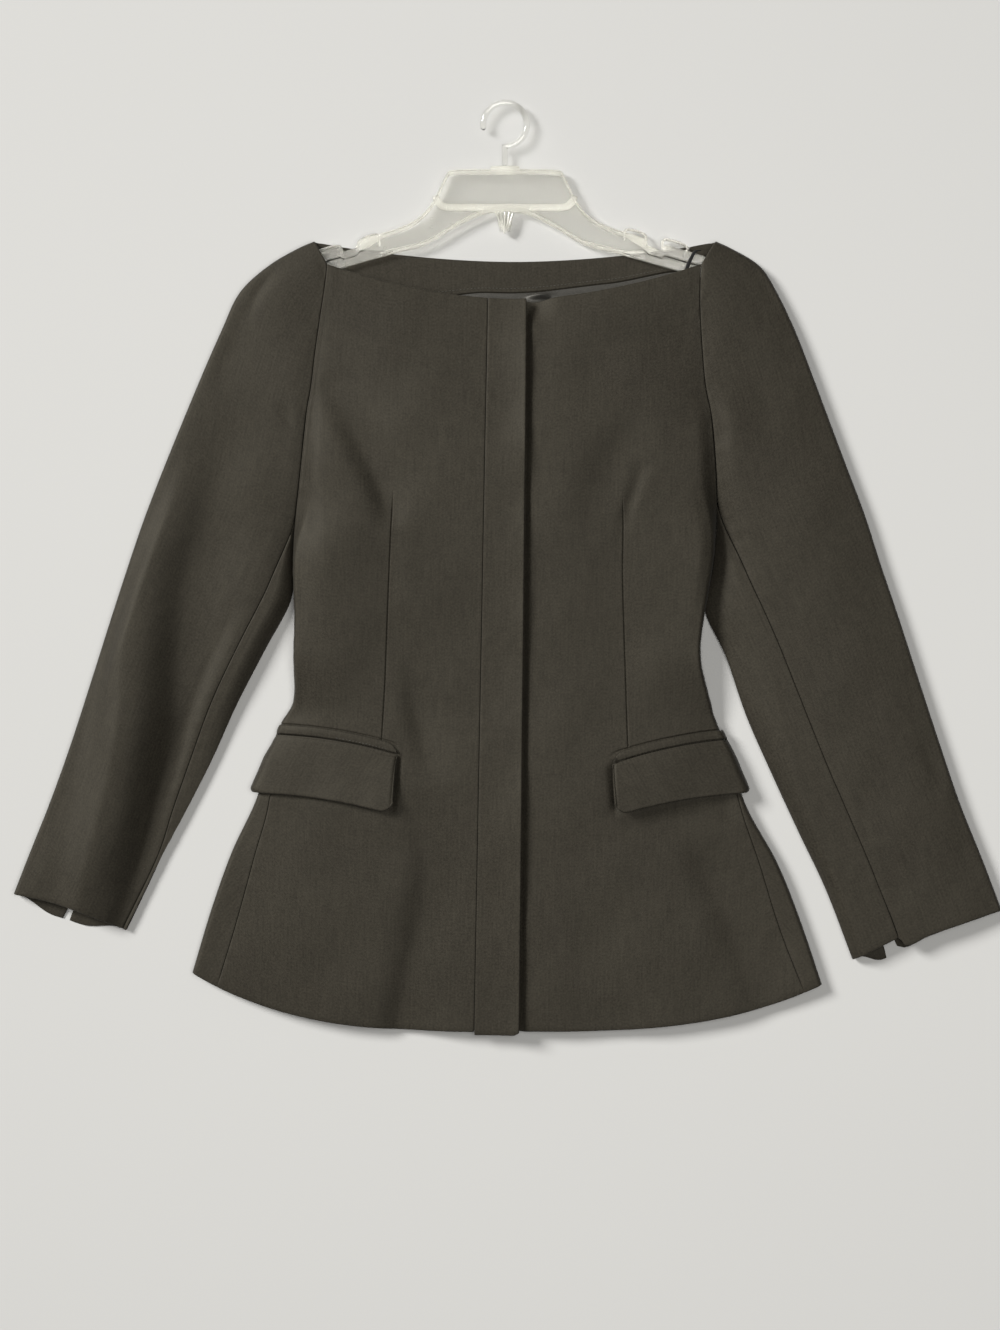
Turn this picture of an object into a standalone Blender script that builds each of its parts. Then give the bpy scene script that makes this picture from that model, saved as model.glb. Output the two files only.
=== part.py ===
"""Off-shoulder blazer lying flat on its back, with its moulded hanger in the neck.

Metres, +Z up, the neck towards +Y. Left and right are as seen from above.
"""
import math
from collections import namedtuple

import bmesh
import bpy
import numpy as np

for old in list(bpy.data.objects):
    bpy.data.objects.remove(old, do_unlink=True)

CLOTH = 0.0017              # wall of the shell cloth
SEAM_GAP = 0.0003           # between two pieces at a seam
ROLL = 0.006                # radius of the fold at each side of a flat tube
FLAP_CLOTH = 0.0026         # double cloth of a pocket flap
WELT_CLOTH = 0.0018
FACING_CLOTH = 0.0012
LINING_CLOTH = 0.0010
PLACKET_LIFT = 0.0030       # the free edge of the placket stands off the right front
UNDERLAP_DROP = 0.0024      # the right front sinks below the placket
UNDERLAP_FADE = 0.045       # and comes up again over this width
HANGER_BASE = 0.0036        # underside of the hanger, just above the facing
HANGER_THICK = 0.0060
HANGER_WEB = 0.0022
HANGER_RIM = 0.0036
HOOK_TUBE = 0.0028          # radius of the hook's rod
HOOK_BEND = 0.0205          # radius of the hook's bend, to the rod's middle
HOOK_STEM = 0.0180
STEPS = 2                   # sections made between two rows of a table

# Body below the underarm, hem upward. Each row is a closed flat tube. mid_y is the row's place
# on the centre line, seam is the side seam: 1 at the outline, less on the top, more under the roll.
BodyRow = namedtuple("BodyRow", "mid_y left_x left_y right_x right_y crown seam_l seam_r")
BODY = [
    BodyRow(-0.367, -0.294, -0.312, 0.298, -0.323, 0.015, 0.935, 0.950),
    BodyRow(-0.306, -0.276, -0.252, 0.277, -0.261, 0.019, 0.930, 0.935),
    BodyRow(-0.235, -0.257, -0.199, 0.256, -0.209, 0.022, 0.940, 0.940),
    BodyRow(-0.164, -0.235, -0.152, 0.227, -0.156, 0.025, 0.970, 0.970),
    BodyRow(-0.113, -0.220, -0.105, 0.211, -0.105, 0.026, 1.050, 1.050),
    BodyRow(-0.083, -0.210, -0.077, 0.199, -0.077, 0.026, 1.200, 1.200),
    BodyRow(-0.056, -0.199, -0.056, 0.193, -0.056, 0.025, 1.250, 1.250),
    BodyRow(-0.014, -0.199, -0.014, 0.184, -0.014, 0.025, 1.250, 1.250),
    BodyRow(0.033, -0.198, 0.028, 0.189, 0.033, 0.028, 1.250, 1.250),
    BodyRow(0.075, -0.200, 0.070, 0.197, 0.075, 0.031, 1.150, 1.150),
    BodyRow(0.109, -0.199, 0.103, 0.200, 0.120, 0.033, 1.000, 1.000),
]

# Upper sleeves above the underarm, underarm to neck. outer is the fold, seam the front armhole
# seam with its height, back the armhole seam that lies on the floor side.
HeadRow = namedtuple("HeadRow", "outer_x outer_y seam_x seam_y seam_z back_x back_y crown")
HEAD_LEFT = [
    HeadRow(-0.326, 0.150, -0.199, 0.103, 0.009, -0.193, 0.103, 0.022),
    HeadRow(-0.307, 0.197, -0.193, 0.150, 0.016, -0.186, 0.150, 0.022),
    HeadRow(-0.282, 0.257, -0.187, 0.207, 0.019, -0.180, 0.204, 0.022),
    HeadRow(-0.266, 0.293, -0.182, 0.237, 0.019, -0.176, 0.240, 0.021),
    HeadRow(-0.250, 0.327, -0.178, 0.271, 0.018, -0.171, 0.276, 0.020),
    HeadRow(-0.223, 0.352, -0.173, 0.306, 0.017, -0.166, 0.310, 0.018),
    HeadRow(-0.196, 0.368, -0.169, 0.333, 0.016, -0.161, 0.343, 0.017),
    HeadRow(-0.180, 0.375, -0.167, 0.352, 0.015, -0.156, 0.370, 0.0155),
]
HEAD_RIGHT = [
    HeadRow(0.322, 0.162, 0.200, 0.120, 0.009, 0.194, 0.120, 0.022),
    HeadRow(0.307, 0.202, 0.198, 0.160, 0.016, 0.190, 0.160, 0.022),
    HeadRow(0.285, 0.261, 0.194, 0.207, 0.019, 0.186, 0.206, 0.022),
    HeadRow(0.271, 0.296, 0.188, 0.237, 0.019, 0.182, 0.240, 0.021),
    HeadRow(0.256, 0.327, 0.185, 0.271, 0.018, 0.179, 0.276, 0.020),
    HeadRow(0.240, 0.352, 0.183, 0.308, 0.017, 0.176, 0.310, 0.018),
    HeadRow(0.214, 0.368, 0.183, 0.333, 0.016, 0.175, 0.343, 0.017),
    HeadRow(0.199, 0.375, 0.184, 0.352, 0.015, 0.174, 0.370, 0.0155),
]

# The chest between the armholes: one row for each row of the sleeve heads.
ChestRow = namedtuple("ChestRow", "mid_y crown")
CHEST = [
    ChestRow(0.109, 0.033),
    ChestRow(0.149, 0.034),
    ChestRow(0.190, 0.034),
    ChestRow(0.218, 0.032),
    ChestRow(0.246, 0.029),
    ChestRow(0.275, 0.025),
    ChestRow(0.300, 0.021),
    ChestRow(0.319, 0.018),
]
BACK_NECK_Y = 0.356         # back neck edge on the centre line

# Sleeves below the underarm, underarm to cuff. seam_at and back_at say how far across the tube,
# from the outer fold, the front and the back seam lie. slit is half the cuff slit.
ArmRow = namedtuple("ArmRow", "outer_x outer_y inner_x inner_y seam_at back_at seam_z crown slit drop")
ARM_LEFT = [
    ArmRow(-0.326, 0.150, -0.2020, 0.094, 0.94, 0.80, 0.009, 0.022, 0.0, 0.0),
    ArmRow(-0.340, 0.113, -0.2025, 0.061, 0.88, 0.76, 0.013, 0.022, 0.0, 0.0),
    ArmRow(-0.353, 0.075, -0.209, 0.034, 0.83, 0.72, 0.016, 0.022, 0.0, 0.0),
    ArmRow(-0.369, 0.026, -0.228, -0.009, 0.83, 0.68, 0.017, 0.022, 0.0, 0.0),
    ArmRow(-0.388, -0.034, -0.253, -0.062, 0.83, 0.63, 0.017, 0.022, 0.0, 0.0),
    ArmRow(-0.408, -0.096, -0.276, -0.113, 0.85, 0.58, 0.016, 0.021, 0.0, 0.0),
    ArmRow(-0.428, -0.152, -0.301, -0.162, 0.89, 0.53, 0.014, 0.020, 0.0, 0.0),
    ArmRow(-0.446, -0.197, -0.324, -0.205, 0.925, 0.49, 0.0135, 0.0195, 0.0, 0.003),
    ArmRow(-0.462, -0.238, -0.357, -0.272, 0.93, 0.46, 0.0130, 0.0180, 0.003, 0.009),
]
ARM_RIGHT = [
    ArmRow(0.322, 0.162, 0.2032, 0.111, 0.93, 0.80, 0.009, 0.022, 0.0, 0.0),
    ArmRow(0.339, 0.117, 0.2000, 0.070, 0.83, 0.77, 0.014, 0.022, 0.0, 0.0),
    ArmRow(0.353, 0.073, 0.1945, 0.030, 0.71, 0.74, 0.018, 0.022, 0.0, 0.0),
    ArmRow(0.370, 0.023, 0.209, -0.015, 0.70, 0.74, 0.019, 0.022, 0.0, 0.0),
    ArmRow(0.390, -0.039, 0.227, -0.071, 0.68, 0.73, 0.019, 0.022, 0.0, 0.0),
    ArmRow(0.410, -0.100, 0.252, -0.128, 0.68, 0.73, 0.019, 0.022, 0.0, 0.0),
    ArmRow(0.429, -0.156, 0.276, -0.180, 0.675, 0.73, 0.018, 0.021, 0.0, 0.0),
    ArmRow(0.448, -0.203, 0.302, -0.235, 0.685, 0.73, 0.017, 0.019, 0.0, 0.003),
    ArmRow(0.467, -0.253, 0.327, -0.300, 0.70, 0.73, 0.015, 0.017, 0.005, 0.007),
]

# Soft folds of the top cloth: a line, its half width, and its height (less than 0 for a trough).
Fold = namedtuple("Fold", "x0 y0 x1 y1 width height")
FOLDS = [
    Fold(-0.300, 0.150, -0.330, 0.000, 0.022, -0.003),
    Fold(-0.330, 0.000, -0.335, -0.130, 0.020, -0.004),
    Fold(-0.335, -0.130, -0.372, -0.225, 0.018, -0.003),
    Fold(-0.372, 0.020, -0.410, -0.120, 0.020, 0.003),
    Fold(-0.155, 0.225, -0.110, 0.150, 0.020, -0.004),
    Fold(0.125, 0.180, 0.098, 0.100, 0.022, -0.004),
    Fold(-0.085, 0.010, -0.075, -0.080, 0.018, -0.004),
    Fold(-0.085, -0.170, -0.090, -0.335, 0.018, -0.004),
    Fold(0.170, -0.180, 0.235, -0.290, 0.024, -0.004),
]

# Placket: its sewn edge and its free edge at the hem and at the neck.
PLACKET_SEWN = (-0.029, -0.016)
PLACKET_FREE = (0.013, 0.020)
UNDERLAP_EDGE = 0.010       # the right front ends this far in from the sewn edge

# Pocket flaps, with the welt above. inner is the end towards the centre front.
Pocket = namedtuple("Pocket", "side inner_x outer_y inner_y bend depth_outer depth_inner welt")
POCKET_LEFT = Pocket(-1, -0.0995, -0.0880, -0.1065, 0.0045, 0.054, 0.054, 0.0080)
POCKET_RIGHT = Pocket(1, 0.0980, -0.0920, -0.1150, 0.0040, 0.050, 0.047, 0.0075)
POCKET_LENGTH = 0.118
FLAP_ROUND = 0.010          # rounding of the flap's lower inner corner
FLAP_KICK = 0.0022          # the flap's lower edge stands off the front
OVERHANG = 0.0014           # a pocket's outer end stands off the body's side by this much more

# Moulded hanger, middle to end: half width, upper and lower edge.
HangerRow = namedtuple("HangerRow", "x upper lower")
HANGER = [
    HangerRow(0.000, 0.443, 0.403),
    HangerRow(0.022, 0.443, 0.400),
    HangerRow(0.050, 0.442, 0.386),
    HangerRow(0.056, 0.436, 0.382),
    HangerRow(0.068, 0.412, 0.375),
    HangerRow(0.082, 0.397, 0.369),
    HangerRow(0.100, 0.388, 0.365),
    HangerRow(0.122, 0.381, 0.359),
    HangerRow(0.150, 0.372, 0.351),
    HangerRow(0.178, 0.364, 0.343),
    HangerRow(0.194, 0.358, 0.340),
    HangerRow(0.200, 0.352, 0.343),
]
HANGER_BAR_Y = 0.4035       # middle of the bar under the window
HANGER_BAR = 0.007
HOOK_GAP = math.radians(75.0)

FRONT_SPREAD = [0.0, 0.012, 0.028, 0.050, 0.085, 0.14, 0.22, 0.33, 0.46, 0.60, 0.74, 0.88, 1.0]
WRAP_COLUMNS = 8            # columns of the back from a side seam round the roll
FLAT_COLUMNS = 8            # and across its flat underside


def blend(a, b, t):
    return a + (b - a) * t


def smoothstep(t):
    t = min(max(t, 0.0), 1.0)
    return t * t * (3.0 - 2.0 * t)


def between(table, steps=STEPS):
    """A smooth run of rows through a table, with steps rows from each row to the next."""
    rows = []
    kind = type(table[0])
    last = len(table) - 1
    values = np.array(table, dtype=float)
    for i in range(last):
        p1, p2 = values[i], values[i + 1]
        p0 = values[i - 1] if i > 0 else 2.0 * p1 - p2
        p3 = values[i + 2] if i + 2 <= last else 2.0 * p2 - p1
        for k in range(steps):
            t = k / steps
            row = 0.5 * (2.0 * p1 + (p2 - p0) * t + (2.0 * p0 - 5.0 * p1 + 4.0 * p2 - p3) * t * t
                         + (3.0 * p1 - p0 - 3.0 * p2 + p3) * t ** 3)
            rows.append(kind(*row))
    rows.append(table[last])
    return rows


def fold_height(x, y):
    """Sum of the soft folds at a place on the top cloth."""
    total = 0.0
    for fold in FOLDS:
        run = np.array([fold.x1 - fold.x0, fold.y1 - fold.y0])
        length = np.linalg.norm(run)
        along = ((x - fold.x0) * run[0] + (y - fold.y0) * run[1]) / length ** 2
        across = abs((x - fold.x0) * run[1] - (y - fold.y0) * run[0]) / length
        ends = smoothstep((along + 0.25) / 0.5) * smoothstep((1.25 - along) / 0.5)
        total += fold.height * ends * math.exp(-(across / fold.width) ** 2)
    return total


def wall(name, outer, inner, material):
    """Closed wall between two grids of points: rows of equal length, outer facing out."""
    rows, cols = len(outer), len(outer[0])
    verts = [tuple(p) for row in outer for p in row] + [tuple(p) for row in inner for p in row]
    base = rows * cols
    faces = []
    for r in range(rows - 1):
        for c in range(cols - 1):
            a, b = r * cols + c, r * cols + c + 1
            d, e = a + cols, b + cols
            faces.append((a, b, e, d))
            faces.append((base + a, base + d, base + e, base + b))
    rim = [c for c in range(cols)]
    rim += [r * cols + cols - 1 for r in range(1, rows)]
    rim += [(rows - 1) * cols + c for c in range(cols - 2, -1, -1)]
    rim += [r * cols for r in range(rows - 2, 0, -1)]
    for a, b in zip(rim, rim[1:] + rim[:1]):
        faces.append((b, a, base + a, base + b))
    return solid(name, verts, faces, material)


def solid(name, verts, faces, material):
    mesh = bpy.data.meshes.new(name)
    mesh.from_pydata(verts, [], faces)
    shape = bmesh.new()
    shape.from_mesh(mesh)
    bmesh.ops.recalc_face_normals(shape, faces=shape.faces)
    bmesh.ops.triangulate(shape, faces=shape.faces)
    shape.to_mesh(mesh)
    shape.free()
    mesh.materials.append(material)
    item = bpy.data.objects.new(name, mesh)
    bpy.context.scene.collection.objects.link(item)
    return item


def material(name, colour, roughness, alpha=1.0):
    made = bpy.data.materials.new(name)
    made.use_nodes = True
    shader = made.node_tree.nodes["Principled BSDF"]
    shader.inputs["Base Color"].default_value = (*colour, 1.0)
    shader.inputs["Roughness"].default_value = roughness
    shader.inputs["Alpha"].default_value = alpha
    return made


# A section of the body or chest. edge_l and edge_r are the heights at its two ends, curl is 1 where
# it curls round the side roll there and 0 where it runs on into a sleeve.
Section = namedtuple("Section", "mid_y left right edge_l edge_r curl crown bow seam_l seam_r")
HEM_Y = BODY[0].mid_y
NECK_Y = CHEST[-1].mid_y


def bow_at(mid_y):
    return blend(3.2, 1.8, (mid_y - HEM_Y) / (NECK_Y - HEM_Y))


def body_section(row):
    return Section(row.mid_y, (row.left_x, row.left_y), (row.right_x, row.right_y), ROLL, ROLL, 1.0,
                   row.crown, bow_at(row.mid_y), row.seam_l, row.seam_r)


def chest_section(row, left, right):
    return Section(row.mid_y, (left.seam_x, left.seam_y), (right.seam_x, right.seam_y), left.seam_z,
                   right.seam_z, 0.0, row.crown, bow_at(row.mid_y), 1.0, 1.0)


def curl_fall(distance):
    """How far the cloth is below its plateau at this distance in from a folded edge."""
    short = max(1.0 - distance / ROLL, 0.0)
    return ROLL * (1.0 - math.sqrt(1.0 - min(short, 1.0) ** 2))


HEADS = (between(HEAD_LEFT), between(HEAD_RIGHT))
ARMS = (between(ARM_LEFT), between(ARM_RIGHT))
LOWER = [body_section(row) for row in between(BODY)]
UPPER = [chest_section(row, left, right) for row, left, right in zip(between(CHEST), *HEADS)]
FRONT_ROWS = LOWER + UPPER[1:]


def section_plan(section, f):
    """Place on the floor plan of a section, f from -1 at its left end to 1 at its right."""
    end = section.left if f < 0.0 else section.right
    x = blend(section.left[0], section.right[0], 0.5 + 0.5 * f)
    y = blend(section.mid_y, end[1], abs(f) ** section.bow)
    return x, y


def section_height(section, f):
    edge = blend(section.edge_l, section.edge_r, 0.5 + 0.5 * f) + section.curl * ROLL
    rise = 1.0 - abs(f) ** 2.5
    x, y = section_plan(section, f)
    reach = (1.0 - abs(f)) * 0.5 * (section.right[0] - section.left[0])
    soft = fold_height(x, y) * smoothstep(4.0 * rise)
    return edge + (section.crown - edge) * rise + soft - section.curl * curl_fall(reach)


def section_raw(section, s):
    """Point of a section: s -1 to 1 over the top, to 2 round the roll, to 3 along the underside."""
    if s > 3.0:
        s -= 6.0
    f = min(max(s, -1.0), 1.0)
    x, y = section_plan(section, f)
    if abs(s) <= 1.0:
        return np.array([x, y, section_height(section, f)])
    side = math.copysign(1.0, s)
    radius = section.edge_l if s < 0.0 else section.edge_r
    turn = min(abs(s) - 1.0, 1.0) * math.pi / 2.0
    x -= side * radius * (1.0 - math.cos(turn))
    z = radius * (1.0 - math.sin(turn))
    if abs(s) > 2.0:
        middle = 0.5 * (section.left[0] + section.right[0])
        share = abs(s) - 2.0
        x = blend(x, middle, share)
        y = section_plan(section, side * (1.0 - share))[1]
    return np.array([x, y, z])


def section_point(section, s):
    """Outer point and the unit normal in the section's own upright plane."""
    point = section_raw(section, s)
    if 2.0 <= abs(s if s <= 3.0 else s - 6.0):
        return point, np.array([0.0, 0.0, -1.0])
    low, high = s - 0.002, s + 0.002
    if abs(s) <= 1.0:
        low, high = max(low, -1.0), min(high, 1.0)
    run = section_raw(section, high) - section_raw(section, low)
    normal = np.array([-run[2], 0.0, run[0]])
    return point, normal / np.linalg.norm(normal)


def spread(section, start, end, shares):
    """Values of s that share out the length of a section between two of its points."""
    fine = np.linspace(start, end, 240)
    points = np.array([section_raw(section, s) for s in fine])
    length = np.concatenate([[0.0], np.cumsum(np.linalg.norm(np.diff(points, axis=0), axis=1))])
    return np.interp(np.array(shares) * length[-1], length, fine)


def inward(points, normals, thickness):
    return [p - n * thickness for p, n in zip(points, normals)]


def line_at(ends, mid_y):
    return blend(ends[0], ends[1], (mid_y - HEM_Y) / (NECK_Y - HEM_Y))


def share_at(section, x):
    """The share f across a section at which its plan has this x."""
    return 2.0 * (x - section.left[0]) / (section.right[0] - section.left[0]) - 1.0


def front_grid(side):
    """Outer points and normals of one front, side seam to centre front, hem to neck."""
    grid, normals = [], []
    for section in FRONT_ROWS:
        seam = section.seam_l if side < 0 else section.seam_r
        if side < 0:
            middle = line_at(PLACKET_SEWN, section.mid_y) - SEAM_GAP / 2.0
        else:
            middle = line_at(PLACKET_SEWN, section.mid_y) + UNDERLAP_EDGE
        end = share_at(section, middle)
        found = [section_point(section, s) for s in spread(section, side * seam, end, FRONT_SPREAD)]
        points = [p for p, n in found]
        ways = [n for p, n in found]
        along = points[1] - points[0]
        points[0] = points[0] + along / np.linalg.norm(along) * SEAM_GAP / 2.0
        if side > 0:
            free = line_at(PLACKET_FREE, section.mid_y)
            for p in points:
                p[2] -= UNDERLAP_DROP * (1.0 - smoothstep((p[0] - free) / UNDERLAP_FADE))
        grid.append(points)
        normals.append(ways)
    return grid, normals


def build_fronts(cloth):
    for side, name in ((-1, "front_left"), (1, "front_right")):
        grid, normals = front_grid(side)
        inner = [inward(p, n, CLOTH) for p, n in zip(grid, normals)]
        wall(name, grid, inner, cloth)


def build_placket(cloth):
    outer, inner = [], []
    for section in FRONT_ROWS:
        sewn = line_at(PLACKET_SEWN, section.mid_y) + SEAM_GAP / 2.0
        free = line_at(PLACKET_FREE, section.mid_y)
        top, under = [], []
        for share in (0.0, 0.3, 0.65, 1.0):
            point, normal = section_point(section, share_at(section, blend(sewn, free, share)))
            point[2] += PLACKET_LIFT * share ** 1.5
            if section is FRONT_ROWS[0]:
                point[1] -= 0.003
            top.append(point)
            under.append(point - normal * CLOTH)
        outer.append(top)
        inner.append(under)
    wall("placket", outer, inner, cloth)


def back_columns(section, gape):
    """Values of s over the back: a side seam, its roll, the underside, the other roll and seam."""
    wrap = np.linspace(0.0, 1.0, WRAP_COLUMNS)
    right = spread(section, section.seam_r + gape, 2.0 + 0.2 * gape, wrap)
    left = spread(section, 4.0 - 0.2 * gape, 6.0 - section.seam_l - gape, wrap)
    flat = np.linspace(right[-1], left[0], FLAT_COLUMNS + 1)
    return np.concatenate([right, flat[1:-1], left])


def back_rows():
    """Rows of the back, hem to neck, each with its points and normals."""
    rows = []
    for index, section in enumerate(LOWER):
        gape = max(0, index - len(LOWER) + 4) / 3.0
        found = [section_point(section, s) for s in back_columns(section, gape)]
        points = [p for p, n in found]
        for end, near in ((0, 1), (-1, -2)):
            along = points[near] - points[end]
            points[end] = points[end] + along / np.linalg.norm(along) * SEAM_GAP / 2.0
        rows.append((points, [n for p, n in found]))
    down = np.array([0.0, 0.0, -1.0])
    steps = len(HEADS[0]) - 1
    shares = [(rows[-1][0][0][0] - p[0]) / (rows[-1][0][0][0] - rows[-1][0][-1][0]) for p in rows[-1][0]]
    for index in range(1, steps + 1):
        left, right = HEADS[0][index], HEADS[1][index]
        middle = blend(LOWER[-1].mid_y, BACK_NECK_Y, index / steps)
        points = []
        for share in shares:
            f = 1.0 - 2.0 * share
            end = right if f > 0.0 else left
            x = blend(right.back_x - SEAM_GAP / 2.0, left.back_x + SEAM_GAP / 2.0, share)
            points.append(np.array([x, blend(middle, end.back_y, abs(f) ** 1.8), 0.0]))
        rows.append((points, [down] * len(points)))
    return rows


def build_back(cloth):
    rows = back_rows()
    wall("back", [p for p, n in rows], [inward(p, n, CLOTH) for p, n in rows], cloth)


def plan_step(start, end):
    run = np.array(end) - np.array(start)
    length = np.linalg.norm(run)
    return np.array([run[0] / length, run[1] / length, 0.0]), length


def tube_top(outer, seam, seam_z, crown):
    """Top of a sleeve from its seam to its outer fold: points and normals."""
    way, width = plan_step(outer, seam)

    def height(share):
        rise = 1.0 - (1.0 - share) ** 2.2
        plateau = 2.0 * ROLL + (crown - 2.0 * ROLL) * rise - (crown - seam_z) * share ** 4
        x, y = np.array(outer) + way[:2] * width * share
        soft = fold_height(x, y) * smoothstep(6.0 * share) * smoothstep(6.0 * (1.0 - share))
        return plateau + soft - curl_fall(width * share)

    bend = [ROLL * (1.0 - math.cos(turn * math.pi / 2.0)) / width for turn in (1.0, 0.67, 0.33, 0.0)]
    shares = [blend(1.0, bend[0], part) for part in (0.0, 0.14, 0.34, 0.56, 0.78)] + bend
    points, normals = [], []
    for share in shares:
        place = np.array([*outer, height(share)]) + way * width * share
        low, high = max(share - 0.0005, 0.0), min(share + 0.0005, 1.0)
        slope = (height(high) - height(low)) / ((high - low) * width)
        normal = np.array([-slope * way[0], -slope * way[1], 1.0])
        if share == 0.0:
            normal = -way
        points.append(place)
        normals.append(normal / np.linalg.norm(normal))
    return points, normals


def tube_under(edge, end, drop=0.0):
    """Roll under a sleeve's fold and on along the floor: points and normals after the fold."""
    way, width = plan_step(edge, end)
    points, normals = [], []
    for turn in (0.33, 0.67, 1.0):
        angle = turn * math.pi / 2.0
        points.append(np.array([*edge, 0.0]) + way * ROLL * (1.0 - math.cos(angle))
                      + np.array([0.0, 0.0, ROLL * (1.0 - math.sin(angle))]))
        normals.append(-way * math.cos(angle) - np.array([0.0, 0.0, math.sin(angle)]))
    for share in (0.35, 0.68, 1.0):
        place = np.array([*edge, 0.0]) + way * blend(ROLL, width, share)
        place[1] -= drop * smoothstep(1.4 * share)
        points.append(place)
        normals.append(np.array([0.0, 0.0, -1.0]))
    return points, normals


def arm_marks(row):
    """Outer fold, front seam, inner fold and back seam of a sleeve row, on the floor plan."""
    outer = np.array([row.outer_x, row.outer_y])
    inner = np.array([row.inner_x, row.inner_y])
    return outer, blend(outer, inner, row.seam_at), inner, blend(outer, inner, row.back_at)


def upper_sleeve(name, heads, arms, side, cloth):
    outer, inner = [], []
    gap = np.array([side * SEAM_GAP / 2.0, 0.0, 0.0])
    for row in reversed(heads):
        top, ways = tube_top((row.outer_x, row.outer_y), (row.seam_x, row.seam_y), row.seam_z, row.crown)
        under, downs = tube_under((row.outer_x, row.outer_y), (row.back_x, row.back_y))
        points = top + under
        points[0] = points[0] + gap
        points[-1] = points[-1] + gap
        outer.append(points)
        inner.append(inward(points, ways + downs, CLOTH))
    for row in arms[1:]:
        edge, seam, fold, back = arm_marks(row)
        way, width = plan_step(edge, fold)
        top, ways = tube_top(edge, seam, row.seam_z, row.crown)
        under, downs = tube_under(edge, back - way[:2] * (max(row.slit, 0.0) + SEAM_GAP / 2.0), row.drop)
        points = top + under
        points[0] = points[0] - way * SEAM_GAP / 2.0
        outer.append(points)
        inner.append(inward(points, ways + downs, CLOTH))
    wall(name, outer, inner, cloth)


def under_top(seam, fold, seam_z):
    """Top of an under sleeve from the front seam to the inner fold: points and normals."""
    way, reach = plan_step(seam, fold)

    def height(share):
        return blend(seam_z, 2.0 * ROLL, share) - curl_fall(reach * (1.0 - share))

    bend = [1.0 - ROLL * (1.0 - math.cos(turn * math.pi / 2.0)) / reach for turn in (1.0, 0.67, 0.33, 0.0)]
    points, normals = [], []
    for share in [SEAM_GAP / 2.0 / reach, 0.5 * bend[0]] + bend:
        low, high = max(share - 0.002, 0.0), min(share + 0.002, 1.0)
        slope = (height(high) - height(low)) / ((high - low) * reach)
        normal = np.array([-slope * way[0], -slope * way[1], 1.0])
        if share == 1.0:
            normal = way.copy()
        points.append(np.array([*seam, height(share)]) + way * reach * share)
        normals.append(normal / np.linalg.norm(normal))
    return points, normals


def under_sleeve(name, arms, cloth):
    outer, inner = [], []
    for row in arms[1:]:
        edge, seam, fold, back = arm_marks(row)
        way, width = plan_step(edge, fold)
        points, normals = under_top(seam, fold, row.seam_z)
        under, downs = tube_under(fold, back + way[:2] * (max(row.slit, 0.0) + SEAM_GAP / 2.0), row.drop)
        outer.append(points + under)
        inner.append(inward(points + under, normals + downs, CLOTH))
    wall(name, outer, inner, cloth)


def build_sleeves(cloth):
    for index, side, word in ((0, -1, "left"), (1, 1, "right")):
        upper_sleeve("upper_sleeve_" + word, HEADS[index], ARMS[index], side, cloth)
        under_sleeve("under_sleeve_" + word, ARMS[index], cloth)


FINE_LOWER = [body_section(row) for row in between(BODY, 24)]


def section_near(f, y):
    """The body section whose line passes the place f across at this y."""
    ys = [section_plan(section, min(max(f, -1.0), 1.0))[1] for section in FINE_LOWER]
    return FINE_LOWER[int(np.argmin(np.abs(np.array(ys) - y)))]


def on_front(s, y, lift):
    """A point above the front at s across and y along, lifted along the front's normal."""
    point, normal = section_point(section_near(s, y), s)
    return np.array([point[0], y, point[2]]) + normal * lift


def pocket_line(pocket, share):
    """y of the flap's upper edge, share 0 at the outer end and 1 at the inner end."""
    return blend(pocket.outer_y, pocket.inner_y, share) + pocket.bend * 4.0 * share * (1.0 - share)


def strip_columns(pocket, y):
    """Values of s along a strip on the front: round the body's side roll, then in to its inner end."""
    section = section_near(0.5 * pocket.side, y)
    half = 0.5 * (section.right[0] - section.left[0])
    turns = (0.0, 0.25, 0.5, 0.75, 1.0)
    bend = [1.0 - ROLL / half * (1.0 - math.cos(turn * math.pi / 2.0)) for turn in turns]
    end = pocket.side * share_at(section, pocket.inner_x)
    run = [blend(bend[-1], end, part) for part in (0.12, 0.28, 0.46, 0.64, 0.80, 0.90, 0.955, 0.985, 1.0)]
    return [pocket.side * s for s in [1.06] + bend + run]


def strip_on_front(name, pocket, rows, thickness, cloth):
    """A strip that lies on the front: for each row its y along the strip, and its lift."""
    outer, inner = [], []
    for down, kick in rows:
        columns = strip_columns(pocket, down(0.5))
        top, under = [], []
        for s in columns:
            share = (columns[0] - s) / (columns[0] - columns[-1])
            clear = SEAM_GAP * 1.5 + OVERHANG * (1.0 - smoothstep(4.0 * share))
            lift = clear + kick * smoothstep(3.0 * share)
            top.append(on_front(s, down(share), lift + thickness))
            under.append(on_front(s, down(share), lift))
        outer.append(top)
        inner.append(under)
    wall(name, outer, inner, cloth)


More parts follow.
